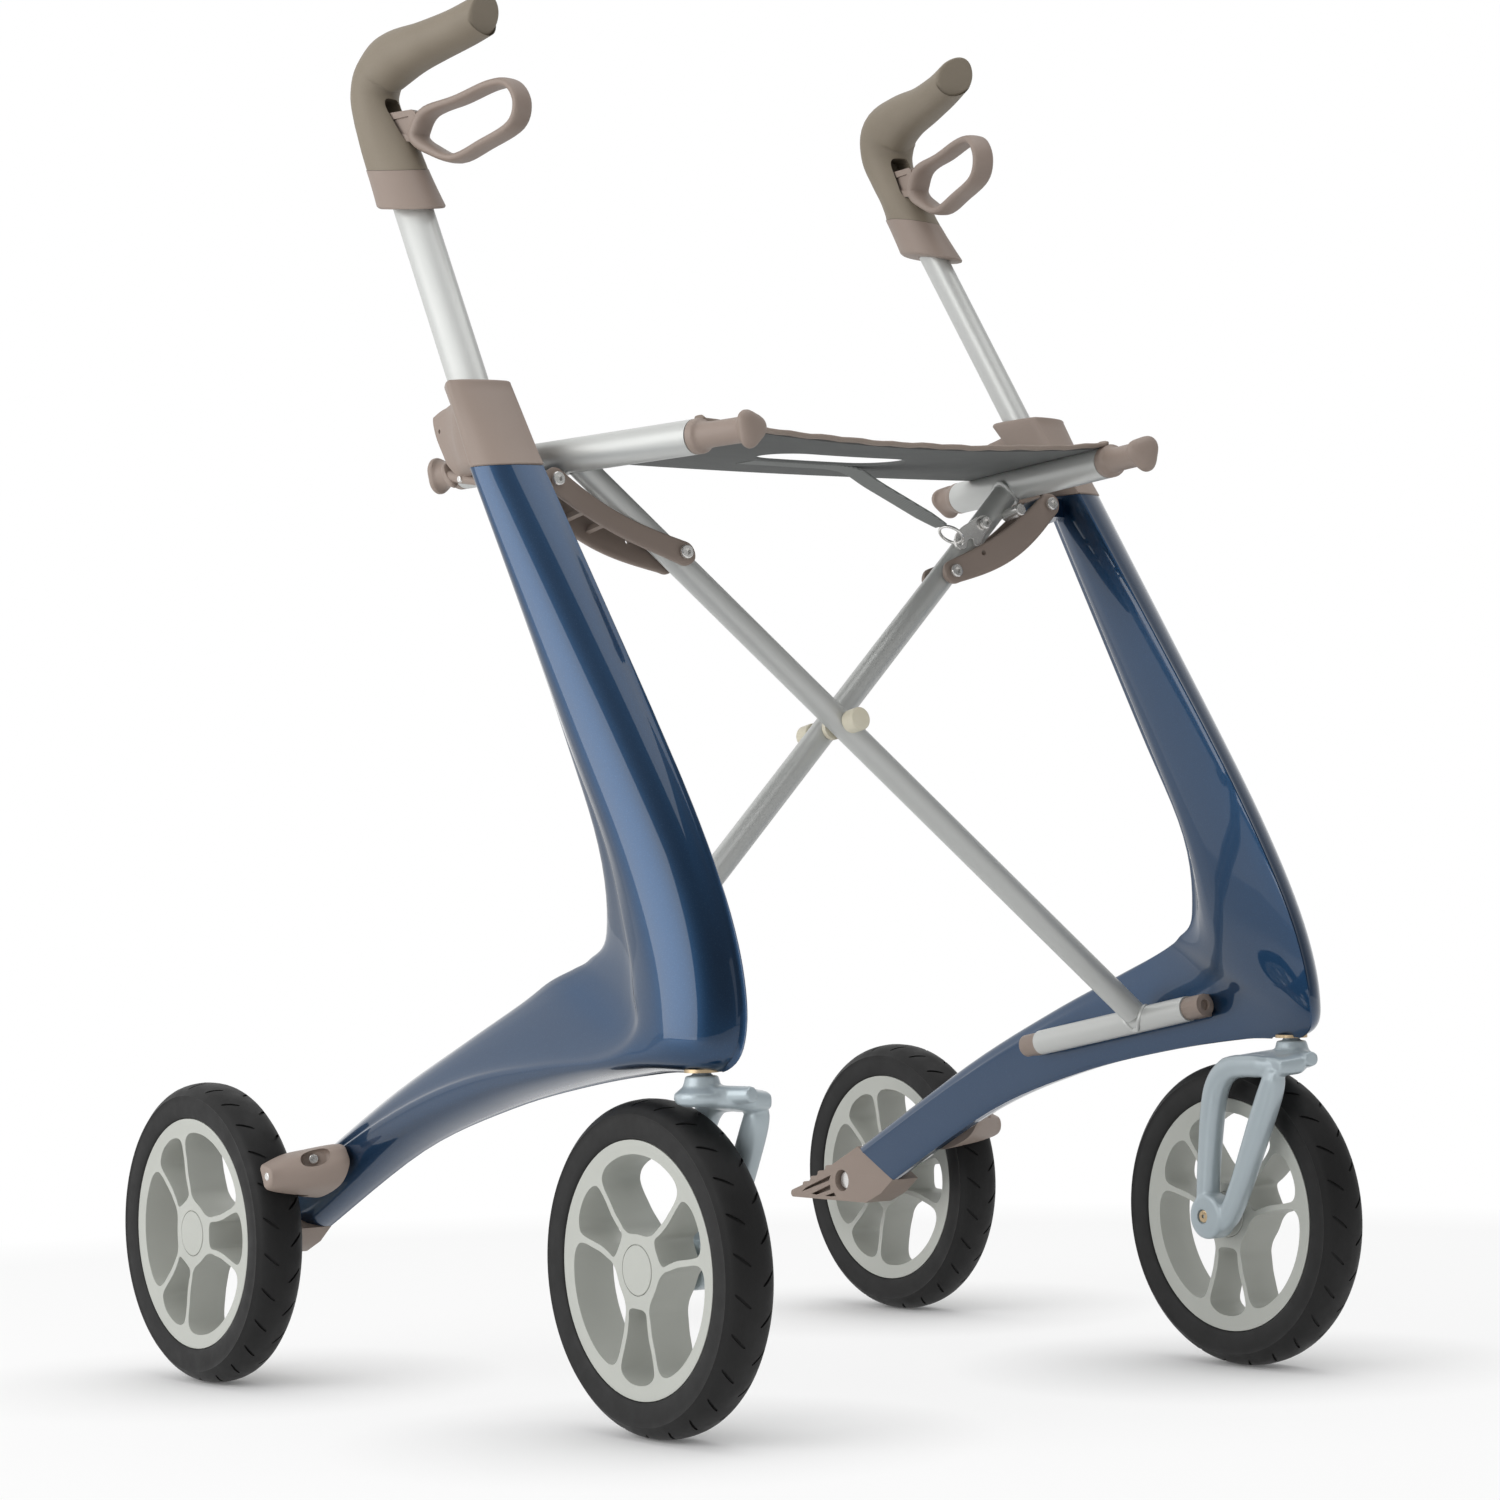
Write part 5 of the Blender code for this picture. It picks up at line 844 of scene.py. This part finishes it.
post_top = (POST_HIGH - POST_LOW).length + 0.03
post = loft("post_tube", [post_ring(POST_LOW + post_up * h, 0.0131 * share, 0.0083 * share, 64, 2.3)
                          for h, share in ((-0.0625, 0.72), (-0.059, 0.88), (-0.054, 1.0), (-0.02, 1.0),
                                           (0.05, 1.0), (0.1, 1.0), (post_top, 1.0))])
wear_pair(post, silver, "handle", "handle_post")

SEAM_NORMAL = Vector((0.118, -0.161, 0.98)).normalized()
SOCKET_LOW, SOCKET_HIGH = Vector((0.2193, 0.06, 0.7722)), Vector((0.2181, 0.0795, 0.801))
socket_up = (SOCKET_HIGH - SOCKET_LOW).normalized()


def slid(ring, centre, way, normal):
    """Moves a ring's points along way until they lie in the plane with this normal through centre."""
    return [point - way * ((point - centre).dot(normal) / way.dot(normal)) for point in ring]


base_rings = []
for share, rise, a, b in ((0.0, 0.0, 0.0196, 0.0158), (0.0, 0.0006, 0.0206, 0.0168),
                          (0.0, 0.0022, 0.0214, 0.0176), (0.12, 0.0, 0.0213, 0.0175),
                          (0.4, 0.0, 0.0206, 0.0168), (0.75, 0.0, 0.0199, 0.0161),
                          (1.0, 0.0, 0.0196, 0.0158)):
    centre = SOCKET_LOW.lerp(SOCKET_HIGH, share) + socket_up * rise
    base_rings.append(slid(post_ring(centre, a, b, 56, 2.2), centre, socket_up, SEAM_NORMAL))
base = loft("grip_socket", base_rings)
base = boolean(base, loft("tube_room", [post_ring(SOCKET_LOW + post_up * h, 0.014, 0.0092)
                                        for h in (-0.03, 0.006)]))
wear_pair(base, taupe, "handle", "handle_base")

grip_path = [
    (SOCKET_HIGH + SEAM_NORMAL * 0.0002, 0.0196, 0.0158),
    (Vector((0.2181, 0.092, 0.8225)), 0.0182, 0.0157),
    (Vector((0.2181, 0.1025, 0.8398)), 0.0164, 0.0165),
    (Vector((0.2175, 0.1072, 0.8552)), 0.0158, 0.019),
    (Vector((0.2155, 0.1012, 0.87)), 0.0168, 0.0205),
    (Vector((0.2125, 0.08, 0.8778)), 0.0174, 0.017),
    (Vector((0.2081, 0.0515, 0.8816)), 0.016, 0.0137),
    (Vector((0.202, 0.024, 0.8862)), 0.0147, 0.0124),
    (Vector((0.1972, 0.004, 0.8912)), 0.0141, 0.012),
]
outer_rear = Vector((1.0, 1.0, 0.0))
grip_rings = []
grip_stations = through([(*centre, wide, thick) for centre, wide, thick in grip_path], 6)
centres = [Vector(station[:3]) for station in grip_stations]
for i, station in enumerate(grip_stations):
    start_share = max(0.0, 1.0 - i / 9)
    along = (tangent(centres, i) * (1 - start_share) + post_up * start_share).normalized()
    turned = (squared(outer_rear, along) * (1 - start_share) + post_long * start_share).normalized()
    turned = squared(turned, along)
    ring = oval(centres[i], turned, station[3], along.cross(turned), station[4], 56, 2.2)
    facing = (along * (1 - start_share) + SEAM_NORMAL * start_share).normalized()
    grip_rings.append(slid(ring, centres[i], along, facing))
end_normal = (along + Vector((0.0, 0.1, -0.55))).normalized()
tip_ring = [point - centres[-1] for point in grip_rings.pop()]
for reach, share in ((0.0, 1.0), (0.0012, 0.97), (0.0021, 0.9), (0.0025, 0.8)):
    centre = centres[-1] + along * reach
    grip_rings.append(slid([centre + offset * share for offset in tip_ring], centre, along, end_normal))
grip = loft("soft_grip", grip_rings)
PIVOT = Vector((0.2175, 0.1, 0.8335))
toe = Matrix.Translation(PIVOT) @ Matrix.Rotation(-math.radians(11), 4, "Z") @ Matrix.Translation(-PIVOT)
mouth = loft("lever_mouth", [
    [toe @ point for point in oval(Vector((0.217, y, 0.8338)), ACROSS, 0.0076, UPWARD, 0.0162, 40, 5.0)]
    for y in (0.03, 0.1068)])
grip = boolean(grip, mouth)
screw_place = Vector((0.1996, 0.0285, 0.8965))
grip = boolean(grip, bar("screw_hole", screw_place + Vector((-0.006, 0.0, 0.004)),
                         screw_place + Vector((0.004, 0.0, -0.003)), 0.0014, 16))
wear_pair(bevel(grip, 0.0007, 2, 50), olive, "handle", "grip")
coat(steel, "lever_pin_left", "lever_pin_right")


# Brake loops: a rounded band that the fingers pull, moulded in one with the stub that turns on a pin
# in the grip.
loop_line = around([(0.0618, 0.8257), (0.0511, 0.8358), (0.0214, 0.8392), (-0.0085, 0.844), (-0.0262, 0.8418),
                    (-0.0345, 0.8288), (-0.028, 0.815), (-0.0004, 0.8068), (0.0268, 0.8014), (0.05, 0.8105),
                    (0.062, 0.8185)], 6)
band_rings = []
count = len(loop_line)
for i, (y, z) in enumerate(loop_line):
    before, after = loop_line[i - 1], loop_line[(i + 1) % count]
    outwards = Vector((0.0, after[1] - before[1], before[0] - after[0])).normalized()
    centre = Vector((PIVOT.x, y, z))
    near_stub = max(0.0, 1.0 - abs((y - 0.062) / 0.026))
    band_rings.append([toe @ point for point in oval(
        centre, ACROSS, 0.0078 + 0.0006 * near_stub, outwards, 0.0031 + 0.0012 * near_stub, 24, 2.6)])
band = loft("brake_band", band_rings, closed=True)
stub_x, stub_wide = PIVOT.x - 0.0005, 0.0128
stub_outline = arc((PIVOT.y, PIVOT.z), 0.0062, -60, 90, 8) + [
    (0.09, 0.8395), (0.064, 0.8385), (0.06, 0.836), (0.06, 0.82), (0.066, 0.8175), (0.09, 0.8222)]
stub = plate("stub", stub_outline, stub_wide, toe @ side_plane(stub_x))
panel_outline = [(0.067, 0.8345), (0.067, 0.8225), (0.09, 0.8262), (0.093, 0.8345)]
for side in (1, -1):
    panel_plane = toe @ side_plane(stub_x + side * stub_wide / 2)
    stub = boolean(stub, plate("panel", panel_outline, 0.0026, panel_plane))
stub = bevel(stub, 0.0007, 2, 40)
wear_pair(join(band, stub), taupe, "brake_lever", "brake_lever")


# Scissor: two silver tubes crossed on a cream-coloured pivot. Each is welded to a seat tube above
# and to a pivot tube below, which turns on plastic plugs in blocks on the frame.
CROSS_ANGLE = math.radians(42.33)
CROSS_LOWER, CROSS_UPPER = 0.3017, 0.2581
TUBE_RADIUS, SEAT_TUBE_RADIUS, LAYER = 0.0085, 0.011, 0.0105
SEAT_FRONT, SEAT_REAR = Vector((0.168, -0.181, 0.599)), Vector((0.208, 0.019, 0.5955))
cos_a, sin_a = math.cos(CROSS_ANGLE), math.sin(CROSS_ANGLE)
LOW_X, LOW_W = CROSS_LOWER * cos_a, -CROSS_LOWER * sin_a
TUBE_FRONT, TUBE_REAR = 0.059, -0.094


def hollow(name, start, end, radius, bore):
    """A tube whose ends are open."""
    way = (Vector(end) - Vector(start)).normalized()
    tube = bar(name, start, end, radius)
    return boolean(tube, bar("bore", Vector(start) - way * 0.01, Vector(end) + way * 0.01, bore))


def weld_bead(name, centre, axis, normal, radius, other):
    """A low rounded bead where a tube of this radius ends on another."""
    side = (axis.cross(normal)).normalized()
    along = normal.cross(side).normalized()
    points = []
    for k in range(28):
        angle = 2 * math.pi * k / 28
        flat = along * (radius * 1.12 * math.cos(angle)) + side * (radius * 1.06 * math.sin(angle))
        drop = other - math.sqrt(max(other ** 2 - flat.dot(side) ** 2, 0.0))
        points.append(centre + flat - normal * drop)
    rings = []
    for i, point in enumerate(points):
        way = (points[(i + 1) % 28] - points[i - 1]).normalized()
        out = (point - centre).normalized()
        rings.append(oval(point, out, 0.0016 + 0.0003 * (i % 2), way.cross(out), 0.0014, 10))
    return loft(name, rings, closed=True)


for side, name, body in ((1, "rear", "cross_rear"), (-1, "front", "cross_front")):
    lower = fold_point(-side * LOW_X, LOW_W, -LAYER * side)
    upper = fold_point(side * CROSS_UPPER * cos_a, CROSS_UPPER * sin_a, -LAYER * side)
    flip = Matrix.Diagonal((side, 1.0, 1.0))
    seat_front, seat_rear = flip @ SEAT_FRONT, flip @ SEAT_REAR
    way = (upper - lower).normalized()
    weldment = join(
        bar("cross_tube", lower + way * 0.0075, upper - way * 0.0098, TUBE_RADIUS),
        hollow("seat_tube", seat_rear, seat_front, SEAT_TUBE_RADIUS, 0.0095),
        hollow("pivot_tube", fold_point(-side * LOW_X, LOW_W, TUBE_REAR),
               fold_point(-side * LOW_X, LOW_W, TUBE_FRONT), TUBE_RADIUS, 0.007),
        weld_bead("bead", upper - way * 0.0108, (seat_front - seat_rear).normalized(), -way,
                  TUBE_RADIUS, SEAT_TUBE_RADIUS),
        weld_bead("bead", lower + way * 0.0083, FOLD_AXIS, way, TUBE_RADIUS, TUBE_RADIUS))
    weldment.name = f"cross_weldment_{name}"
    wear(weldment, silver, body, f"cross_tube_{name}")
cream = Finish("cream_plastic")
cream.set("Base Color", cream.between(cream.speckle(0.01), (0.66, 0.61, 0.47), (0.73, 0.69, 0.56)))
cream.relief(cream.speckle(0.0009), 0.00005, 0.4)
CAP_RADIUS = 0.0077
caps = []
for start, end in ((0.0193, 0.0308), (-0.0193, -0.0308)):
    cap = bar("pivot_cap", FOLD_CENTRE + FOLD_AXIS * start, FOLD_CENTRE + FOLD_AXIS * end, CAP_RADIUS)
    caps.append(bevel(cap, 0.0012, 3))
caps.append(bar("spacer", FOLD_CENTRE - FOLD_AXIS * 0.0017, FOLD_CENTRE + FOLD_AXIS * 0.0017, CAP_RADIUS))
pivot = join(*caps)
pivot.name = "pivot_caps"
wear(pivot, cream, "cross_front", "centre_pivot")

for name, end, sign, reach in (("front", TUBE_FRONT, 1, 0.2307), ("rear", TUBE_REAR, -1, 0.2314)):
    face = end + sign * 0.0003
    ear = bar("ear", fold_point(LOW_X, LOW_W, face), fold_point(LOW_X, LOW_W, face + sign * 0.016), 0.0076)
    low, high = sorted((face, face + sign * 0.013))
    block = plate("foot", [(LOW_X, LOW_W - 0.0075), (reach, LOW_W - 0.0075), (reach, LOW_W + 0.0075),
                           (LOW_X, LOW_W + 0.0075)], high - low, fold_plane((low + high) / 2))
    ear = bevel(boolean(ear, block, "UNION"), 0.0012, 3)
    ear = boolean(ear, bar("dimple", fold_point(LOW_X, LOW_W, face + sign * 0.013),
                           fold_point(LOW_X, LOW_W, face + sign * 0.02), 0.0036))
    ear.name = "pivot_ear_" + name
    wear_pair(ear, taupe, "frame", "pivot_block_" + name)

seat_way = (SEAT_FRONT - SEAT_REAR).normalized()
for name, start, way, length in (("front", SEAT_FRONT, seat_way, 0.052),
                                 ("rear", SEAT_REAR, -seat_way, 0.029)):
    side = squared(ACROSS, way)
    upwards = way.cross(side) if way.cross(side).z > 0 else side.cross(way)
    profile = [(-0.018, 0.0092, 0), (0.0001, 0.0092, 0), (0.0003, 0.0104, 0), (0.0009, 0.011, 0),
               (0.005, 0.011, 0), (0.006, 0.0107, 0), (0.0068, 0.0098, 0), (0.008, 0.0088, 0),
               (0.01, 0.0084, 0)]
    if length > 0.04:
        profile += [(0.015, 0.008, 0), (length - 0.019, 0.008, 0)]
    profile += [(length - back, radius, corners) for back, radius, corners in (
        (0.0125, 0.0082, 0.05), (0.01, 0.0088, 0.3), (0.0086, 0.0097, 0.7), (0.0078, 0.0109, 1),
        (0.0066, 0.0114, 1), (0.0052, 0.0113, 1), (0.0042, 0.0108, 1), (0.0026, 0.0096, 1),
        (0.001, 0.007, 1), (0.0002, 0.0035, 1), (0.0, 0.0008, 1))]
    knob_rings = []
    for along, radius, corners in profile:
        ring = []
        for k in range(60):
            angle = math.radians(6 * k)
            reach = radius * (1 + 0.11 * corners * math.cos(3 * (angle - math.radians(48))))
            ring.append(start + way * along + side * (reach * math.cos(angle))
                        + upwards * (reach * math.sin(angle)))
        knob_rings.append(ring)
    plug = loft("seat_knob_" + name, knob_rings)
    right = mirrored(plug, plug.name + "_right")
    plug.name += "_left"
    wear(plug, taupe, "cross_rear", f"seat_plug_{name}_left")
    wear(right, taupe, "cross_front", f"seat_plug_{name}_right")


# Links: one moulding on each side, a slim curved bar in front and a deeper crescent behind, joined
# by two ribs. They hang between a lug on the frame and the cross tube, on steel screws.
EYE = 0.0082
link_start = Vector((-LUG_X, LUG_W))
link_end = Vector((-0.1612 * cos_a, 0.1612 * sin_a))
link_span = (link_end - link_start).length
link_way = (link_end - link_start) / link_span
link_down = Vector((link_way.y, -link_way.x))


def link_point(along, across, s):
    """A point of the link, which leaves the frame's layer for that of its tube on the way."""
    step = min(max(along / link_span, 0.0), 1.0)
    step = 0.5 * step + 0.5 * step * step * (3 - 2 * step)
    place = link_start + link_way * along + link_down * across
    return fold_point(place.x, place.y, s + LAYER * step)


def link_plate(name, bow, deepest, low, high):
    """One side of the link, with rounded long edges."""
    rings = []
    for k in range(49):
        along = link_span / 2 - (link_span / 2 + EYE) * math.cos(math.pi * k / 48)
        past = max(-along, along - link_span, 0.0)
        cap = math.sqrt(max(EYE ** 2 - past ** 2, (0.06 * EYE) ** 2))
        share = math.sin(math.pi * min(max(along / link_span, 0.0), 1.0))
        upper, lower = -cap + bow * share, cap + deepest * share
        middle, half = (upper + lower) / 2, (lower - upper) / 2
        depth, thick = (low + high) / 2, (high - low) / 2
        ring = []
        for j in range(32):
            angle = 2 * math.pi * j / 32
            c, s = math.cos(angle), math.sin(angle)
            ring.append(link_point(along, middle + half * math.copysign(abs(c) ** 0.3, c),
                                   depth + thick * math.copysign(abs(s) ** 0.55, s)))
        rings.append(ring)
    return loft(name, rings)


link_parts = [link_plate("link_bar", 0.0062, 0.004, 0.0095, 0.0135),
              link_plate("link_crescent", 0.0045, 0.0085, -0.0135, -0.0095)]
for along in (0.024, 0.04):
    corners = ((0, 0.005), (0.003, 0.005), (0.003, 0.01), (0, 0.01))
    rings = [[link_point(along + u, v, s) for u, v in corners] for s in (-0.011, 0.011)]
    link_parts.append(bevel(loft("rib", rings), 0.0004))
hole = link_point(0.0684, 0.001, -0.02)
link_parts[1] = boolean(link_parts[1], bar("eyelet", hole, hole + FOLD_AXIS * 0.012, 0.0018, 20))
link = join(*link_parts)
link.name = "side_link_right"
half_turn = (Matrix.Translation(FOLD_CENTRE) @ Matrix.Rotation(math.pi, 4, FOLD_UP)
             @ Matrix.Translation(-FOLD_CENTRE))
left_link = copied(link, "side_link_left", half_turn)
wear(link, taupe, "link_right", "link_right")
wear(left_link, taupe, "link_left", "link_left")


def cap_screw(name, centre, way, radius=0.0045, height=0.003):
    """A round screw head with a hexagonal socket in its end."""
    head = bevel(bar(name, centre, centre + way * height, radius), 0.0007)
    return boolean(head, bar("socket", centre + way * (height - 0.0016), centre + way * (height + 0.002),
                             radius * 0.52, 6))


LINK_FACE, SHANK_RADIUS = 0.0138, 0.0025
link_end_centre = link_point(link_span, 0.0, 0.0)
for side, centre in (("right", link_end_centre), ("left", half_turn @ link_end_centre)):
    outside = centre + FOLD_AXIS * LINK_FACE
    head = cap_screw("tube_screw_link_" + side, outside, FOLD_AXIS)
    shank = bar("shank", centre + FOLD_AXIS * 0.0088, outside, SHANK_RADIUS, 20)
    wear(join(head, shank), steel, "link_" + side, "link_tube_bolt_" + side)
lug_front, lug_rear = fold_point(LUG_X, LUG_W, LINK_FACE), fold_point(LUG_X, LUG_W, -LINK_FACE)
lug_screw = join(cap_screw("lug_screw", lug_front, FOLD_AXIS), cap_screw("nut", lug_rear, -FOLD_AXIS),
                 bar("shank", lug_rear, lug_front, SHANK_RADIUS, 20))
wear_pair(lug_screw, steel, "frame", "link_frame_bolt")


# Latch: a steel hook on the rear cross tube, with a jaw for the link's edge and a ring in its end.
# Pulling the strap lifts it.
LATCH_X, LATCH_W = 0.1526, 0.144
LATCH_FACE, LATCH_THICK = TUBE_RADIUS - LAYER + 0.0003, 0.0022
latch_outline = [(LATCH_X + u / 1000, LATCH_W + v / 1000) for u, v in around([
    (-25.0, -8.5), (-18.5, -2.8), (-10.7, 0.8), (-4.0, 4.6), (1.5, 5.6), (5.4, 2.6), (5.6, -2.3), (0.5, -7.2),
    (-3.0, -11.5), (-5.2, -15.0), (-10.2, -15.6), (-11.2, -11.6), (-14.5, -11.8), (-17.0, -14.0),
    (-18.5, -18.0), (-24.0, -19.2), (-27.4, -14.5)], 3)]
RING_HOLE = (LATCH_X - 0.0226, LATCH_W - 0.014)
hook = plate("latch_hook", latch_outline, LATCH_THICK, fold_plane(LATCH_FACE + LATCH_THICK / 2),
             [arc(RING_HOLE, 0.0024, 0, 345, 23)])
wear(bevel(hook, 0.0003), steel, "latch", "latch")
ring_way = ACROSS * 0.8 - FOLD_UP * 0.6
ring_centre = fold_point(RING_HOLE[0] - 0.0068, RING_HOLE[1] + 0.0051, LATCH_FACE + LATCH_THICK / 2)
ring_rings = []
for k in range(48):
    angle = 2 * math.pi * k / 48
    out = ring_way * math.cos(angle) + FOLD_AXIS * math.sin(angle)
    ring_rings.append(oval(ring_centre + out * 0.0085, out, 0.0011, ring_way.cross(FOLD_AXIS), 0.0011, 14))
wear(loft("hook_ring", ring_rings, closed=True), steel, "latch", "latch_ring")
latch_screw = cap_screw("latch_screw", fold_point(LATCH_X, LATCH_W, LATCH_FACE + 0.0025), FOLD_AXIS, 0.0044)
wear(latch_screw, steel, "cross_rear", "latch_bolt")
catch = bevel(bar("latch_catch", fold_point(0.1775, 0.1515, -0.005), fold_point(0.1775, 0.1515, 0.0126),
                  0.0042, 32), 0.0008)
wear(catch, steel, "link_left")


# Seat: a sling of coated fabric, sewn round both seat tubes and sagging a little between them. It is
# dark grey, with hems bound in taupe and a rounded grab slot cut through it.
SEAT_THICKNESS, SEAT_SHARE = 0.0016, 0.88
sling = Finish("seat_fabric")
weave_u, weave_v = sling.bands("X", 320.0, 0.4), sling.bands("Y", 320.0, 0.4)
sling.dress(sling.speckle(0.02, 4.0), (0.095, 0.1, 0.098), (0.13, 0.136, 0.132),
            weave_u * weave_v, 0.78, 0.92, (0.0, 1.0))
sling.relief(weave_u + weave_v, 0.00012, 0.6)


def sling_row(share, offset, spans=40):
    """Points of the sling from the right seat tube to the left one, at a share of the way back."""
    centre = SEAT_FRONT.lerp(SEAT_REAR, share)
    radius = SEAT_TUBE_RADIUS + 0.0003 + offset
    sag = 0.008 * (1.0 - 0.8 * share)
    half = []
    for k in range(3):
        turn = math.radians(104 + 6 * k)
        half.append(Vector((centre.x + radius * math.cos(turn), centre.y,
                            centre.z + radius * math.sin(turn))))
    rest, edge = half[-1].z, half[-1].x
    row = list(half)
    for k in range(1, spans):
        part = k / spans
        row.append(Vector((edge * (1 - 2 * part), centre.y, rest - sag * math.sin(math.pi * part) ** 0.8)))
    return row + [Vector((-point.x, point.y, point.z)) for point in reversed(half)]


rows = 26
grid = [sling_row(SEAT_SHARE * k / (rows - 1), 0.0) for k in range(rows)]
across = len(grid[0])
points = [point for row in grid for point in row]
faces = [(r * across + i, r * across + i + 1, (r + 1) * across + i + 1, (r + 1) * across + i)
         for r in range(rows - 1) for i in range(across - 1)]
seat = new_object("seat_sling", points, [], faces)
slot_end, slot_half, slot_y = 0.056, 0.023, -0.098
slot_shape = (arc((slot_end - slot_half, slot_y), slot_half, -90, 90, 16)
              + arc((slot_half - slot_end, slot_y), slot_half, 90, 270, 16))
thick = seat.modifiers.new("cloth", "SOLIDIFY")
thick.thickness = SEAT_THICKNESS
thick.offset = 1.0
seat = tidy(seat, 60)
seat = boolean(seat, plate("grab_slot", slot_shape, 0.1, Matrix.Translation((0.0, 0.0, 0.6))))


def hem_roll(name, share):
    """The binding that is folded round one edge of the sling, a little wavy from its stitches."""
    row = sling_row(share, SEAT_THICKNESS / 2)
    rings = []
    for i, point in enumerate(row):
        wave = 0.00035 * math.sin(i * 1.9) + 0.0002 * math.sin(i * 0.7)
        rings.append(oval(point + UPWARD * wave, REARWARD, 0.0048, UPWARD, 0.0016, 16, 3.0))
    return loft(name, rings)


binding = Finish("seat_fabric")
rib = binding.bands("X", 260.0, 0.2)
binding.dress(binding.speckle(0.015), (0.255, 0.205, 0.172), (0.3, 0.245, 0.208),
              rib, 0.72, 0.88, (0.0, 1.0))
binding.relief(rib, 0.0001, 0.5)
hem_front = hem_roll("front_hem", 0.0)
hem_rear = hem_roll("rear_hem", SEAT_SHARE)


# Strap: ribbed grey webbing, 20 mm wide, sewn under the seat and looped through the latch's ring.
# Pulled up by hand, it opens the latch and folds the rollator.
webbing = Finish("grey_webbing")
ribs = webbing.bands("DIAGONAL", 210.0, 0.3)
webbing.dress(ribs, (0.15, 0.158, 0.152), (0.26, 0.27, 0.262), ribs, 0.8, 0.92, (0.0, 1.0))
webbing.relief(ribs, 0.0002, 0.7)
STRAP_Y = -0.06
strap_share = (STRAP_Y - 0.01 - SEAT_FRONT.y) / (SEAT_REAR.y - SEAT_FRONT.y)
under = sling_row(strap_share, 0.0)
strap_top = under[len(under) // 2].z - 0.0003 - 0.0008
ring_hold = fold_point(RING_HOLE[0] - 0.0136, RING_HOLE[1] + 0.0102, -0.0005) - ring_way * 0.0014
route = through([Vector((-0.042, STRAP_Y, strap_top + 0.0003)), Vector((0.0, STRAP_Y, strap_top)),
                 Vector((0.042, STRAP_Y, strap_top - 0.0012)), Vector((0.066, STRAP_Y - 0.004, 0.5885)),
                 ring_hold], [6, 6, 8, 12])
strap_rings = []
centres = [Vector(point) for point in route]
for i, centre in enumerate(centres):
    along = tangent(centres, i)
    side = squared(REARWARD, along)
    narrow = 1.0 - 0.3 * max(0.0, (i - len(centres) + 5) / 4)
    strap_rings.append(oval(centre, side, 0.01 * narrow, along.cross(side), 0.0008, 20, 6.0))
strap = loft("pull_strap", strap_rings)

for piece, finish in ((seat, sling), (hem_front, binding), (hem_rear, binding)):
    cover(piece, finish)
    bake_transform(piece)
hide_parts("seat")
flat_width = sum((a - b).length for a, b in zip(grid[0], grid[0][1:]))
cover(strap, webbing)
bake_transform(strap)
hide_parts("strap")
